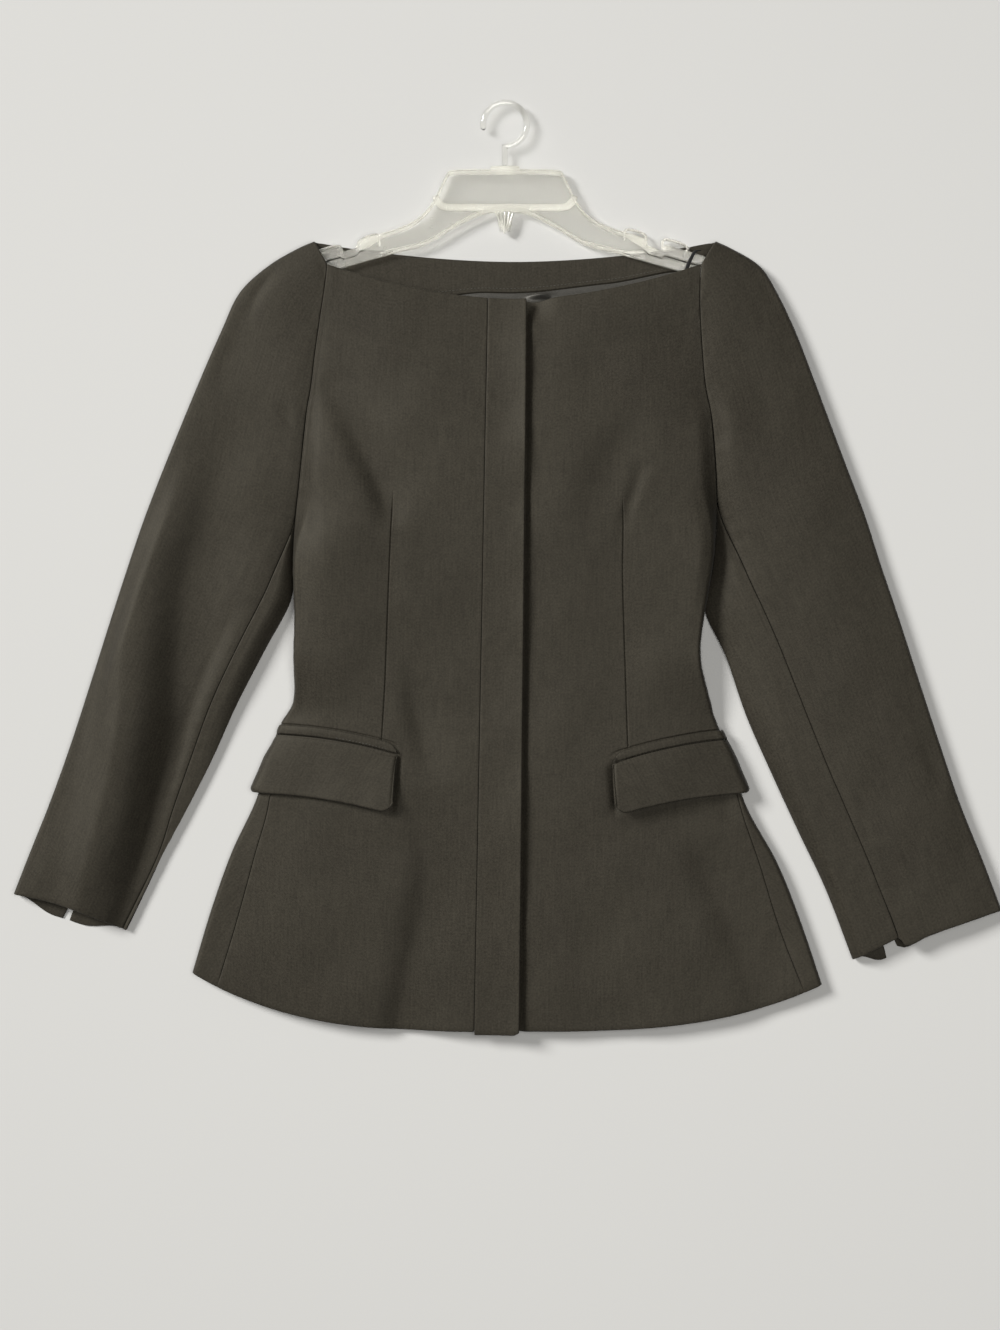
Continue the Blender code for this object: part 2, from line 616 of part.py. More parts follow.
def build_pockets(cloth):
    for pocket, word in ((POCKET_LEFT, "left"), (POCKET_RIGHT, "right")):
        def lower(share, pocket=pocket):
            depth = blend(pocket.depth_outer, pocket.depth_inner, share)
            near = max(0.0, FLAP_ROUND - (1.0 - share) * POCKET_LENGTH)
            return pocket_line(pocket, share) - depth + FLAP_ROUND - math.sqrt(FLAP_ROUND ** 2 - near ** 2)

        def flap_row(part, pocket=pocket, lower=lower):
            return lambda share: blend(pocket_line(pocket, share) - SEAM_GAP / 2.0, lower(share), part)

        def welt_row(part, pocket=pocket):
            return lambda share: pocket_line(pocket, share) + SEAM_GAP / 2.0 + pocket.welt * part

        flap = [(flap_row(part), FLAP_KICK * part ** 1.5) for part in (0.0, 0.2, 0.45, 0.7, 0.9, 1.0)]
        welt = [(welt_row(part), 0.0) for part in (1.0, 0.5, 0.0)]
        strip_on_front("flap_" + word, pocket, flap, FLAP_CLOTH, cloth)
        strip_on_front("welt_" + word, pocket, welt, WELT_CLOTH, cloth)


def back_edge(x):
    """y of the back neck edge."""
    left, right = HEADS[0][-1], HEADS[1][-1]
    f = 2.0 * (x - left.back_x) / (right.back_x - left.back_x) - 1.0
    end = left.back_y if f < 0.0 else right.back_y
    return blend(BACK_NECK_Y, end, min(abs(f), 1.0) ** 1.8)


def neck_strip(name, left, right, rows, thickness, wave, cloth):
    """A strip inside the back of the neck. rows: drop below the back edge and height."""
    outer, inner = [], []
    xs = np.linspace(left, right, 17)
    for drop, height in rows:
        top, under = [], []
        for i, x in enumerate(xs):
            z = height + wave * (0.5 + 0.5 * math.cos(i * math.pi * 0.5)) * smoothstep((drop - 0.03) / 0.02)
            y = back_edge(x) - drop
            under.append(np.array([x, y, z]))
            top.append(np.array([x, y, z + thickness]))
        outer.append(top)
        inner.append(under)
    wall(name, outer, inner, cloth)


def build_neck(cloth, satin):
    base = CLOTH + SEAM_GAP
    facing_rows = ((0.0004, base), (0.012, base), (0.0285, base))
    neck_strip("back_facing", -0.150, 0.168, facing_rows, FACING_CLOTH, 0.0, cloth)
    lining_rows = ((0.0288, base), (0.036, base + 0.002), (0.044, base + 0.005), (0.056, base + 0.003),
                   (0.075, base))
    neck_strip("lining", -0.148, 0.166, lining_rows, LINING_CLOTH, 0.002, satin)


def hanger_profile(row):
    """Closed section of the hanger at one place: two rims and the web between them."""
    top, low = HANGER_BASE + HANGER_THICK, HANGER_BASE
    middle = 0.5 * (top + low)
    web_top, web_low = middle + HANGER_WEB / 2.0, middle - HANGER_WEB / 2.0
    rim = min(HANGER_RIM, 0.35 * (row.upper - row.lower))
    high, deep = row.upper - rim, row.lower + rim
    return [(row.upper, low), (row.upper, top), (high, top), (high, web_top), (deep, web_top), (deep, top),
            (row.lower, top), (row.lower, low), (deep, low), (deep, web_low), (high, web_low), (high, low)]


def cut_join(base, other, operation):
    modifier = base.modifiers.new("join", "BOOLEAN")
    modifier.operation = operation
    modifier.solver = "EXACT"
    modifier.object = other
    graph = bpy.context.evaluated_depsgraph_get()
    mesh = bpy.data.meshes.new_from_object(base.evaluated_get(graph))
    base.modifiers.clear()
    base.data = mesh
    bpy.data.objects.remove(other, do_unlink=True)


def block(name, x0, x1, y0, y1, z0, z1, material):
    verts = [(x, y, z) for x in (x0, x1) for y in (y0, y1) for z in (z0, z1)]
    faces = [(0, 1, 3, 2), (4, 6, 7, 5), (0, 4, 5, 1), (2, 3, 7, 6), (0, 2, 6, 4), (1, 5, 7, 3)]
    return solid(name, verts, faces, material)


def build_hanger(plastic):
    half = between(HANGER, 1)
    rows = [row._replace(x=-row.x) for row in reversed(half[1:])] + half
    verts, faces = [], []
    sides = len(hanger_profile(rows[0]))
    for row in rows:
        verts += [(row.x, y, z) for y, z in hanger_profile(row)]
    for i in range(len(rows) - 1):
        for k in range(sides):
            a, b = i * sides + k, i * sides + (k + 1) % sides
            faces.append((a, b, b + sides, a + sides))
    faces.append(tuple(range(sides)))
    faces.append(tuple((len(rows) - 1) * sides + k for k in reversed(range(sides))))
    frame = solid("hanger", verts, faces, plastic)
    low, top = HANGER_BASE + 0.0005, HANGER_BASE + HANGER_THICK - 0.0005
    bar = block("bar", -0.066, 0.066, HANGER_BAR_Y, HANGER_BAR_Y + HANGER_BAR, low, top, plastic)
    cut_join(frame, bar, "UNION")
    boss = block("boss", -0.0135, 0.0135, 0.438, 0.4465, low, top, plastic)
    cut_join(frame, boss, "UNION")
    tongue = block("tongue", -0.008, 0.008, 0.384, 0.402, low + 0.001, top - 0.001, plastic)
    cut_join(frame, tongue, "UNION")
    return frame


def hook_path():
    """Stem up from the hanger's boss, then round the bend to the hook's tip."""
    start = 0.4465 + SEAM_GAP
    path = [(0.0, start), (0.0, start + 0.5 * HOOK_STEM), (0.0, start + HOOK_STEM)]
    centre = start + HOOK_STEM + HOOK_BEND
    for k in range(1, 19):
        angle = -math.pi / 2.0 + (2.0 * math.pi - HOOK_GAP) * k / 18.0
        path.append((HOOK_BEND * math.cos(angle), centre + HOOK_BEND * math.sin(angle)))
    return path


def tube(name, path, radius, sides, material):
    """Round rod along a path of points, closed at both ends."""
    verts, faces = [], []
    points = [np.array(p, dtype=float) for p in path]
    up = np.array([0.0, 0.0, 1.0])
    for i, p in enumerate(points):
        run = points[min(i + 1, len(points) - 1)] - points[max(i - 1, 0)]
        side = np.cross(run / np.linalg.norm(run), up)
        side /= np.linalg.norm(side)
        rise = np.cross(side, run / np.linalg.norm(run))
        for k in range(sides):
            angle = 2.0 * math.pi * (k + 0.5) / sides
            verts.append(tuple(p + radius * (side * math.cos(angle) + rise * math.sin(angle))))
    for i in range(len(points) - 1):
        for k in range(sides):
            a, b = i * sides + k, i * sides + (k + 1) % sides
            faces.append((a, b, b + sides, a + sides))
    faces.append(tuple(range(sides)))
    faces.append(tuple((len(points) - 1) * sides + k for k in reversed(range(sides))))
    return solid(name, verts, faces, material)


def build_hook(plastic):
    height = HANGER_BASE + HANGER_THICK / 2.0
    return tube("hanger_hook", [(x, y, height) for x, y in hook_path()], HOOK_TUBE, 8, plastic)


def build_loop(cloth):
    """Ribbon from the facing up over the hanger's end and down again."""
    over = HANGER_BASE + HANGER_THICK + 0.0004
    low = CLOTH + FACING_CLOTH + 3.0 * SEAM_GAP
    path = [(0.1665, 0.3395, low), (0.1685, 0.3425, over), (0.1735, 0.3560, over), (0.1790, 0.3660, over),
            (0.1830, 0.3672, low + 0.003)]
    outer, inner = [], []
    for x, y, z in path:
        outer.append([np.array([x - 0.0015, y, z + 0.0010]), np.array([x + 0.0015, y, z + 0.0010])])
        inner.append([np.array([x - 0.0015, y, z]), np.array([x + 0.0015, y, z])])
    wall("hanger_loop", outer, inner, cloth)


def centre_on_floor():
    """Bring the middle of the footprint to the origin, the underside staying at the floor."""
    items = list(bpy.context.scene.collection.objects)
    corners = np.array([v.co for item in items for v in item.data.vertices])
    middle = 0.5 * (corners.min(axis=0) + corners.max(axis=0))
    for item in items:
        for v in item.data.vertices:
            v.co.x -= middle[0]
            v.co.y -= middle[1]


shell = material("shell_cloth", (0.030, 0.028, 0.024), 0.9)
satin = material("lining_satin", (0.075, 0.075, 0.078), 0.4)
clear = material("clear_plastic", (0.90, 0.89, 0.84), 0.15, 0.35)
build_fronts(shell)
build_placket(shell)
build_back(shell)
build_sleeves(shell)
build_pockets(shell)
build_neck(shell, satin)
build_hanger(clear)
build_hook(clear)
build_loop(shell)
centre_on_floor()
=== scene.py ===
import math

import bmesh
import bpy
import numpy as np
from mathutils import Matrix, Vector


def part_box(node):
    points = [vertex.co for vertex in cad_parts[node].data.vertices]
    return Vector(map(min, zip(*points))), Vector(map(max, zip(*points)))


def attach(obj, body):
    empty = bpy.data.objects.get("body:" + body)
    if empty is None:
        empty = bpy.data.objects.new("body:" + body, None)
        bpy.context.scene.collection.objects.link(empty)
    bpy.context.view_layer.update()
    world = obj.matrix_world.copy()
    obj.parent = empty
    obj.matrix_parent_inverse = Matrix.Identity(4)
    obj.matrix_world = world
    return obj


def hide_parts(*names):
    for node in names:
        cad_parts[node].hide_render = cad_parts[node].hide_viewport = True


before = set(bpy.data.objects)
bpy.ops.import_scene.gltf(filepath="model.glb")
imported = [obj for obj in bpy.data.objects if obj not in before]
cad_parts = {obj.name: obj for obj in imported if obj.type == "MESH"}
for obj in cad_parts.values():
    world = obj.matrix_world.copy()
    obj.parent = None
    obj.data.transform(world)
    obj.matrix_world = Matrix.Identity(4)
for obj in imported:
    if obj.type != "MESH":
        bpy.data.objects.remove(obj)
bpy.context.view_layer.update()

scene = bpy.context.scene

# the cutting plan below lies on the floor in metres, this brings it to the frame's place
planShift = np.array([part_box("upper_sleeve_left")[0][0] + 0.462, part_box("front_left")[0][1] + 0.367, 0.0])

shell = {
    "wall": 0.0017,         # thickness of the crepe
    "seamInset": 0.0009,    # a panel's rounded edge stops this far from the seam line
    "hemInset": 0.0002, "hemFade": 0.010,       # the seam's groove closes over this much above the hem
    "roll": 0.006,          # radius of the fold at the sides of a flat tube
    "crisp": 0.0036,        # how far in from the side that fold shows from above
    "rowSteps": 14,         # fine rows between two rows of a table
    "pucker": 0.00022,      # height of the small puckers along a seam
    "puckerWaves": (390.0, 83.0, 251.0), "puckerShares": (0.6, 0.4, 0.5), "puckerStart": 0.0012,
    "rubReach": 0.0022,     # the edges are rubbed lighter over this width
}


def ramp(t):
    t = np.clip(t, 0.0, 1.0)
    return t * t * (3.0 - 2.0 * t)


def mix(a, b, t):
    return a + (b - a) * t


def unit(v):
    return v / np.maximum(np.linalg.norm(v, axis=-1, keepdims=True), 1e-12)


def smoothRun(rows, steps):
    values = np.array(rows, dtype=float)
    ends = np.vstack([2.0 * values[0] - values[1], values, 2.0 * values[-1] - values[-2]])
    t = np.arange(steps)[:, None] / steps
    runs = []
    for a, b, c, d in zip(ends, ends[1:], ends[2:], ends[3:]):
        runs.append(0.5 * (2.0 * b + (c - a) * t + (2.0 * a - 5.0 * b + 4.0 * c - d) * t ** 2
                           + (3.0 * b - a - 3.0 * c + d) * t ** 3))
    return np.vstack(runs + [values[-1:]])


def tableRows(columns, rows, steps):
    fine = smoothRun(rows, steps)
    return {name: fine[:, i:i + 1] for i, name in enumerate(columns.split())}


def runLength(points, axis):
    # how far along its line each point lies
    steps = np.linalg.norm(np.diff(points, axis=axis), axis=-1)
    pads = [(1, 0) if k == axis else (0, 0) for k in range(steps.ndim)]
    return np.cumsum(np.pad(steps, pads), axis=axis)


def easeRows(values, times):
    for _ in range(times):
        values[1:-1] = 0.25 * values[:-2] + 0.5 * values[1:-1] + 0.25 * values[2:]


def newGroup(name, inputs, outputs, kind="ShaderNodeTree"):
    group = bpy.data.node_groups.new(name, kind)
    for label, kind, value in inputs:
        socket = group.interface.new_socket(label, in_out="INPUT", socket_type=kind)
        if value is not None:
            socket.default_value = value
    for label, kind in outputs:
        group.interface.new_socket(label, in_out="OUTPUT", socket_type=kind)
    return group, group.nodes.new("NodeGroupInput"), group.nodes.new("NodeGroupOutput")


def addNode(tree, kind, **settings):
    node = tree.nodes.new(kind)
    for name, value in settings.items():
        setattr(node, name, value)
    return node


def putValue(tree, socket, value):
    if isinstance(value, (int, float)):
        socket.default_value = value
    else:
        tree.links.new(value, socket)


def setInputs(node, values):
    for name, value in values.items():
        node.inputs[name].default_value = value


def addMath(tree, operation, first, second):
    node = addNode(tree, "ShaderNodeMath", operation=operation)
    putValue(tree, node.inputs[0], first)
    putValue(tree, node.inputs[1], second)
    return node.outputs[0]


def addShares(tree, parts):
    total = None
    for value, share in parts:
        part = addMath(tree, "MULTIPLY", value, share)
        total = part if total is None else addMath(tree, "ADD", total, part)
    return total


def addNoise(tree, vector, scale, detail, roughness=0.5):
    node = addNode(tree, "ShaderNodeTexNoise", noise_dimensions="3D")
    tree.links.new(vector, node.inputs["Vector"])
    for name, value in (("Scale", scale), ("Detail", detail), ("Roughness", roughness)):
        putValue(tree, node.inputs[name], value)
    return node.outputs["Fac"]


def addRange(tree, value, **ends):
    node = addNode(tree, "ShaderNodeMapRange")
    tree.links.new(value, node.inputs["Value"])
    for word, (low, high) in ends.items():
        setInputs(node, {word + " Min": low, word + " Max": high})
    return node.outputs[0]


def addBump(tree, height, shader, strength, distance):
    node = addNode(tree, "ShaderNodeBump")
    setInputs(node, {"Strength": strength, "Distance": distance})
    tree.links.new(height, node.inputs["Height"])
    tree.links.new(node.outputs[0], shader.inputs["Normal"])


grainMake = {
    "turns": (58.0, -32.0),         # degrees of the twill line and of the weft across it
    "threadScale": 380.0, "wander": 1.6, "wanderDetail": 2.0, "wanderScale": 1.4, "threadShare": 0.32,
    "slubScale": 520.0, "slubDetail": 4.0, "slubRough": 0.62, "slubShare": 0.75,
}


def makeThreadGroup():
    number, vector = "NodeSocketFloat", "NodeSocketVector"
    group, put, out = newGroup("threadGrain", [
        ("Vector", vector, None), ("Thread Scale", number, grainMake["threadScale"]),
        ("Wander", number, grainMake["wander"]), ("Slub Scale", number, grainMake["slubScale"])],
        [("Height", number), ("Slub", number)])
    waves = []
    for turn in grainMake["turns"]:
        place = addNode(group, "ShaderNodeMapping")
        setInputs(place, {"Rotation": (0.0, 0.0, math.radians(turn))})
        wave = addNode(group, "ShaderNodeTexWave", wave_type="BANDS", bands_direction="X")
        setInputs(wave, {"Detail": grainMake["wanderDetail"], "Detail Scale": grainMake["wanderScale"]})
        group.links.new(put.outputs["Vector"], place.inputs["Vector"])
        group.links.new(place.outputs[0], wave.inputs["Vector"])
        group.links.new(put.outputs["Thread Scale"], wave.inputs["Scale"])
        group.links.new(put.outputs["Wander"], wave.inputs["Distortion"])
        waves.append(wave.outputs["Fac"])
    slub = addNoise(group, put.outputs["Vector"], put.outputs["Slub Scale"], grainMake["slubDetail"],
                    grainMake["slubRough"])
    both = addMath(group, "ADD", *waves)
    height = addShares(group, [(both, grainMake["threadShare"]), (slub, grainMake["slubShare"])])
    group.links.new(height, out.inputs["Height"])
    group.links.new(slub, out.inputs["Slub"])
    return group


napMake = {
    "broadScale": 7.0, "fineScale": 90.0, "streakScale": 520.0,
    "detail": 3.0, "streakDetail": 2.0, "rough": 0.6,
    "streakStretch": (1.0, 0.06, 1.0),      # thin streaks along the warp
    "broadShare": 0.3, "fineShare": 0.3, "streakShare": 0.4,
    "lintCells": 26.0, "lintPick": 0.70, "lintReach": 0.020,        # one speck of lint in a few of the cells
}


def makeNapGroup():
    number, vector = "NodeSocketFloat", "NodeSocketVector"
    group, put, out = newGroup("napDrift", [
        ("Vector", vector, None), ("Broad Scale", number, napMake["broadScale"]),
        ("Fine Scale", number, napMake["fineScale"]), ("Streak Scale", number, napMake["streakScale"])],
        [("Drift", number), ("Lint", number)])
    broad = addNoise(group, put.outputs["Vector"], put.outputs["Broad Scale"], napMake["detail"])
    warp = addNode(group, "ShaderNodeMapping")
    setInputs(warp, {"Scale": napMake["streakStretch"]})
    group.links.new(put.outputs["Vector"], warp.inputs["Vector"])
    streak = addNoise(group, warp.outputs[0], put.outputs["Streak Scale"], napMake["streakDetail"],
                      napMake["rough"])
    fine = addNoise(group, put.outputs["Vector"], put.outputs["Fine Scale"], napMake["detail"],
                    napMake["rough"])
    drift = addShares(group, [(broad, napMake["broadShare"]), (fine, napMake["fineShare"]),
                              (streak, napMake["streakShare"])])
    group.links.new(drift, out.inputs["Drift"])
    cells = addNode(group, "ShaderNodeTexVoronoi", feature="F1")
    setInputs(cells, {"Scale": napMake["lintCells"]})
    group.links.new(put.outputs["Vector"], cells.inputs["Vector"])
    pick = addNode(group, "ShaderNodeSeparateColor")
    group.links.new(cells.outputs["Color"], pick.inputs[0])
    chosen = addMath(group, "GREATER_THAN", pick.outputs[0], napMake["lintPick"])
    reach = addMath(group, "MULTIPLY", pick.outputs[1], napMake["lintReach"])
    speck = addMath(group, "LESS_THAN", cells.outputs["Distance"], reach)
    group.links.new(addMath(group, "MULTIPLY", chosen, speck), out.inputs["Lint"])
    return group


threadGroup = makeThreadGroup()
napGroup = makeNapGroup()

clothMake = {"slubTone": 0.55, "driftTone": 0.45, "bumpStrength": 0.6, "sheenRough": 0.55}
crepeLook = {
    "deep": (0.0125, 0.0106, 0.0074), "light": (0.0310, 0.0272, 0.0198), "rubbed": (0.045, 0.041, 0.032),
    "lint": (0.26, 0.25, 0.23), "sheen": 0.03, "threadScale": 380.0, "bump": 0.00020, "edge": 0.06,
    "calm": 0.10, "rough": (0.52, 0.68), "gloss": 0.25, "tint": (1.0, 0.94, 0.80), "brushed": 0.0,
}
satinLook = {
    "deep": (0.026, 0.0250, 0.0225), "light": (0.080, 0.0770, 0.0690), "rubbed": (0.090, 0.087, 0.080),
    "lint": (0.16, 0.16, 0.16), "sheen": 0.0, "threadScale": 900.0, "bump": 0.00005, "edge": 0.12,
    "calm": 0.30, "rough": (0.38, 0.56), "gloss": 0.40, "tint": (1.0, 0.97, 0.90), "brushed": 0.35,
}
ribbonLook = {
    "deep": (0.004, 0.004, 0.004), "light": (0.010, 0.010, 0.010), "rubbed": (0.020, 0.020, 0.020),
    "lint": (0.10, 0.10, 0.10), "sheen": 0.0, "threadScale": 1200.0, "bump": 0.00006, "edge": 0.10,
    "calm": 0.30, "rough": (0.45, 0.65), "gloss": 0.20, "tint": (1.0, 1.0, 1.0), "brushed": 0.0,
}


def newMaterial(name):
    made = bpy.data.materials.new(name)
    made.use_nodes = True
    return made, made.node_tree, made.node_tree.nodes["Principled BSDF"]


def addGroup(tree, group, vector, values):
    node = addNode(tree, "ShaderNodeGroup", node_tree=group)
    tree.links.new(vector, node.inputs["Vector"])
    setInputs(node, values)
    return node


def mixColour(tree, share, first, second):
    node = addNode(tree, "ShaderNodeMix", data_type="RGBA")
    tree.links.new(share, node.inputs["Factor"])
    for socket, value in ((node.inputs["A"], first), (node.inputs["B"], second)):
        if isinstance(value, tuple):
            socket.default_value = (*value, 1.0)
        else:
            tree.links.new(value, socket)
    return node.outputs["Result"]


def clothMaterial(name, look):
    made, tree, shader = newMaterial(name)
    place = addNode(tree, "ShaderNodeUVMap", uv_map="cut")
    thread = addGroup(tree, threadGroup, place.outputs["UV"], {"Thread Scale": look["threadScale"]})
    nap = addGroup(tree, napGroup, place.outputs["UV"], {})
    edge = addNode(tree, "ShaderNodeAttribute", attribute_name="edgeRub")
    slub = thread.outputs["Slub"]
    tone = addShares(tree, [(slub, clothMake["slubTone"]), (nap.outputs["Drift"], clothMake["driftTone"])])
    calm = look["calm"]         # a small calm gives a lively grain
    spread = addRange(tree, tone, From=(0.5 - calm, 0.5 + calm))
    rubbed = addMath(tree, "MULTIPLY", edge.outputs["Fac"], look["edge"])
    colour = mixColour(tree, spread, look["deep"], look["light"])
    colour = mixColour(tree, rubbed, colour, look["rubbed"])
    colour = mixColour(tree, nap.outputs["Lint"], colour, look["lint"])
    tree.links.new(colour, shader.inputs["Base Color"])
    tree.links.new(addRange(tree, slub, To=look["rough"]), shader.inputs["Roughness"])
    addBump(tree, thread.outputs["Height"], shader, clothMake["bumpStrength"], look["bump"])
    setInputs(shader, {"Sheen Weight": look["sheen"], "Sheen Roughness": clothMake["sheenRough"],
                       "Specular IOR Level": look["gloss"], "Specular Tint": (*look["tint"], 1.0),
                       "Anisotropic": look["brushed"]})
    return made


crepe = clothMaterial("shellCrepe", crepeLook)
satin = clothMaterial("liningSatin", satinLook)
ribbon = clothMaterial("loopRibbon", ribbonLook)

plasticLook = {
    "web": {"colour": (0.975, 0.972, 0.950), "clear": 1.0, "rough": (0.02, 0.09)},
    # the rims take a milkier, cream-tinted copy of the clear plastic: a painted highlight for the bright
    # lines of light along the rims
    "rim": {"colour": (0.950, 0.940, 0.880), "clear": 0.84, "rough": (0.10, 0.22)},
    "ior": 1.46, "scuff": (240.0, 4.0, 0.6), "flow": (60.0, 2.0), "flowBump": (0.06, 0.0004),
    "shade": (0.33, 0.33, 0.32),        # some light passes on to the floor below
}


def makePlastic(name, look):
    made, tree, shader = newMaterial(name)
    place = addNode(tree, "ShaderNodeTexCoord")
    scuff = addNoise(tree, place.outputs["Object"], *plasticLook["scuff"])
    tree.links.new(addRange(tree, scuff, To=look["rough"]), shader.inputs["Roughness"])
    flow = addNoise(tree, place.outputs["Object"], *plasticLook["flow"])
    addBump(tree, flow, shader, *plasticLook["flowBump"])
    setInputs(shader, {"Base Color": (*look["colour"], 1.0), "Transmission Weight": look["clear"],
                       "IOR": plasticLook["ior"]})
    path = addNode(tree, "ShaderNodeLightPath")
    through = addNode(tree, "ShaderNodeBsdfTransparent")
    both = addNode(tree, "ShaderNodeMixShader")
    setInputs(through, {"Color": (*plasticLook["shade"], 1.0)})
    ways = (path.outputs["Is Shadow Ray"], shader.outputs[0], through.outputs[0])
    for value, socket in zip(ways, both.inputs):
        tree.links.new(value, socket)
    tree.links.new(both.outputs[0], tree.nodes["Material Output"].inputs["Surface"])
    return made


plastic = makePlastic("clearPlastic", plasticLook["web"])
rimHighlightPlastic = makePlastic("milkyHighlightPlastic", plasticLook["rim"])
print("materials made")


def linkPiece(name, mesh):
    piece = bpy.data.objects.new(name, mesh)
    scene.collection.objects.link(piece)
    return piece


def smoothFaces(mesh):
    mesh.polygons.foreach_set("use_smooth", np.ones(len(mesh.polygons), dtype=bool))


def meshPiece(name, verts, faces, material):
    mesh = bpy.data.meshes.new(name)
    mesh.from_pydata(verts, [], faces)
    mesh.materials.append(material)
    return linkPiece(name, mesh)


def ringOf(rows, cols):
    ring = [(0, c) for c in range(cols)] + [(r, cols - 1) for r in range(1, rows)]
    ring += [(rows - 1, c) for c in range(cols - 2, -1, -1)] + [(r, 0) for r in range(rows - 2, 0, -1)]
    return np.array(ring)


def clothShell(name, grid, material, wall, flip=False, relief=None, anchor=0):
    grid = grid + planShift
    rows, cols = grid.shape[:2]
    normal = unit(np.cross(np.gradient(grid, axis=1), np.gradient(grid, axis=0)))
    if flip:
        normal = -normal
    outer = grid if relief is None else grid + normal * relief[:, :, None]
    inner = grid - normal * wall
    ring = ringOf(rows, cols)
    r, c = ring[:, 0], ring[:, 1]
    away = np.zeros_like(grid)
    away[:, 0] += unit(grid[:, 0] - grid[:, 1])
    away[:, -1] += unit(grid[:, -1] - grid[:, -2])
    away[0] += unit(grid[0] - grid[1])
    away[-1] += unit(grid[-1] - grid[-2])
    away = unit(away)
    middle = grid - normal * wall * 0.5
    rim = []
    for turn in (math.pi / 4.0, 0.0, -math.pi / 4.0):      # half-round edge of the cloth
        rim.append(middle[r, c] + wall * 0.5 * (math.cos(turn) * away[r, c] + math.sin(turn) * normal[r, c]))
    verts = np.vstack([outer.reshape(-1, 3), inner.reshape(-1, 3)] + rim)
    count = rows * cols
    index = np.arange(count).reshape(rows, cols)
    quads = np.stack([index[:-1, :-1], index[:-1, 1:], index[1:, 1:], index[1:, :-1]], axis=-1).reshape(-1, 4)
    border = index[r, c]
    loops = [border] + [2 * count + k * len(ring) + np.arange(len(ring)) for k in range(3)] + [count + border]
    sides = [np.stack([a, b, np.roll(b, -1), np.roll(a, -1)], axis=-1) for a, b in zip(loops, loops[1:])]
    faces = np.vstack([quads, count + quads[:, ::-1]] + sides)
    if flip:
        faces = faces[:, ::-1]
    piece = meshPiece(name, verts.tolist(), faces.tolist(), material)
    mesh = piece.data
    smoothFaces(mesh)
    u, v = runLength(grid, 1), runLength(grid, 0)
    near = np.minimum(np.minimum(u, u[:, -1:] - u), np.minimum(v, v[-1:] - v))
    cut = np.stack([u - u[:, anchor:anchor + 1], v], axis=-1)
    flat = np.vstack([cut.reshape(-1, 2)] * 2 + [cut[r, c]] * 3)
    layer = mesh.uv_layers.new(name="cut")
    corner = np.empty(len(mesh.loops), dtype=np.int32)
    mesh.loops.foreach_get("vertex_index", corner)
    layer.data.foreach_set("uv", flat[corner].ravel())
    rub = np.exp(-(near / shell["rubReach"]) ** 2).reshape(-1)
    edge = mesh.attributes.new("edgeRub", "FLOAT", "POINT")
    edge.data.foreach_set("value", np.concatenate([rub, rub, np.ones(3 * len(ring))]))
    return piece


def finishCloth(piece, node):
    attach(piece, "root")
    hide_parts(node)
    print(piece.name, "cloth", round(sum(p.area for p in piece.data.polygons) / 2.0, 5))


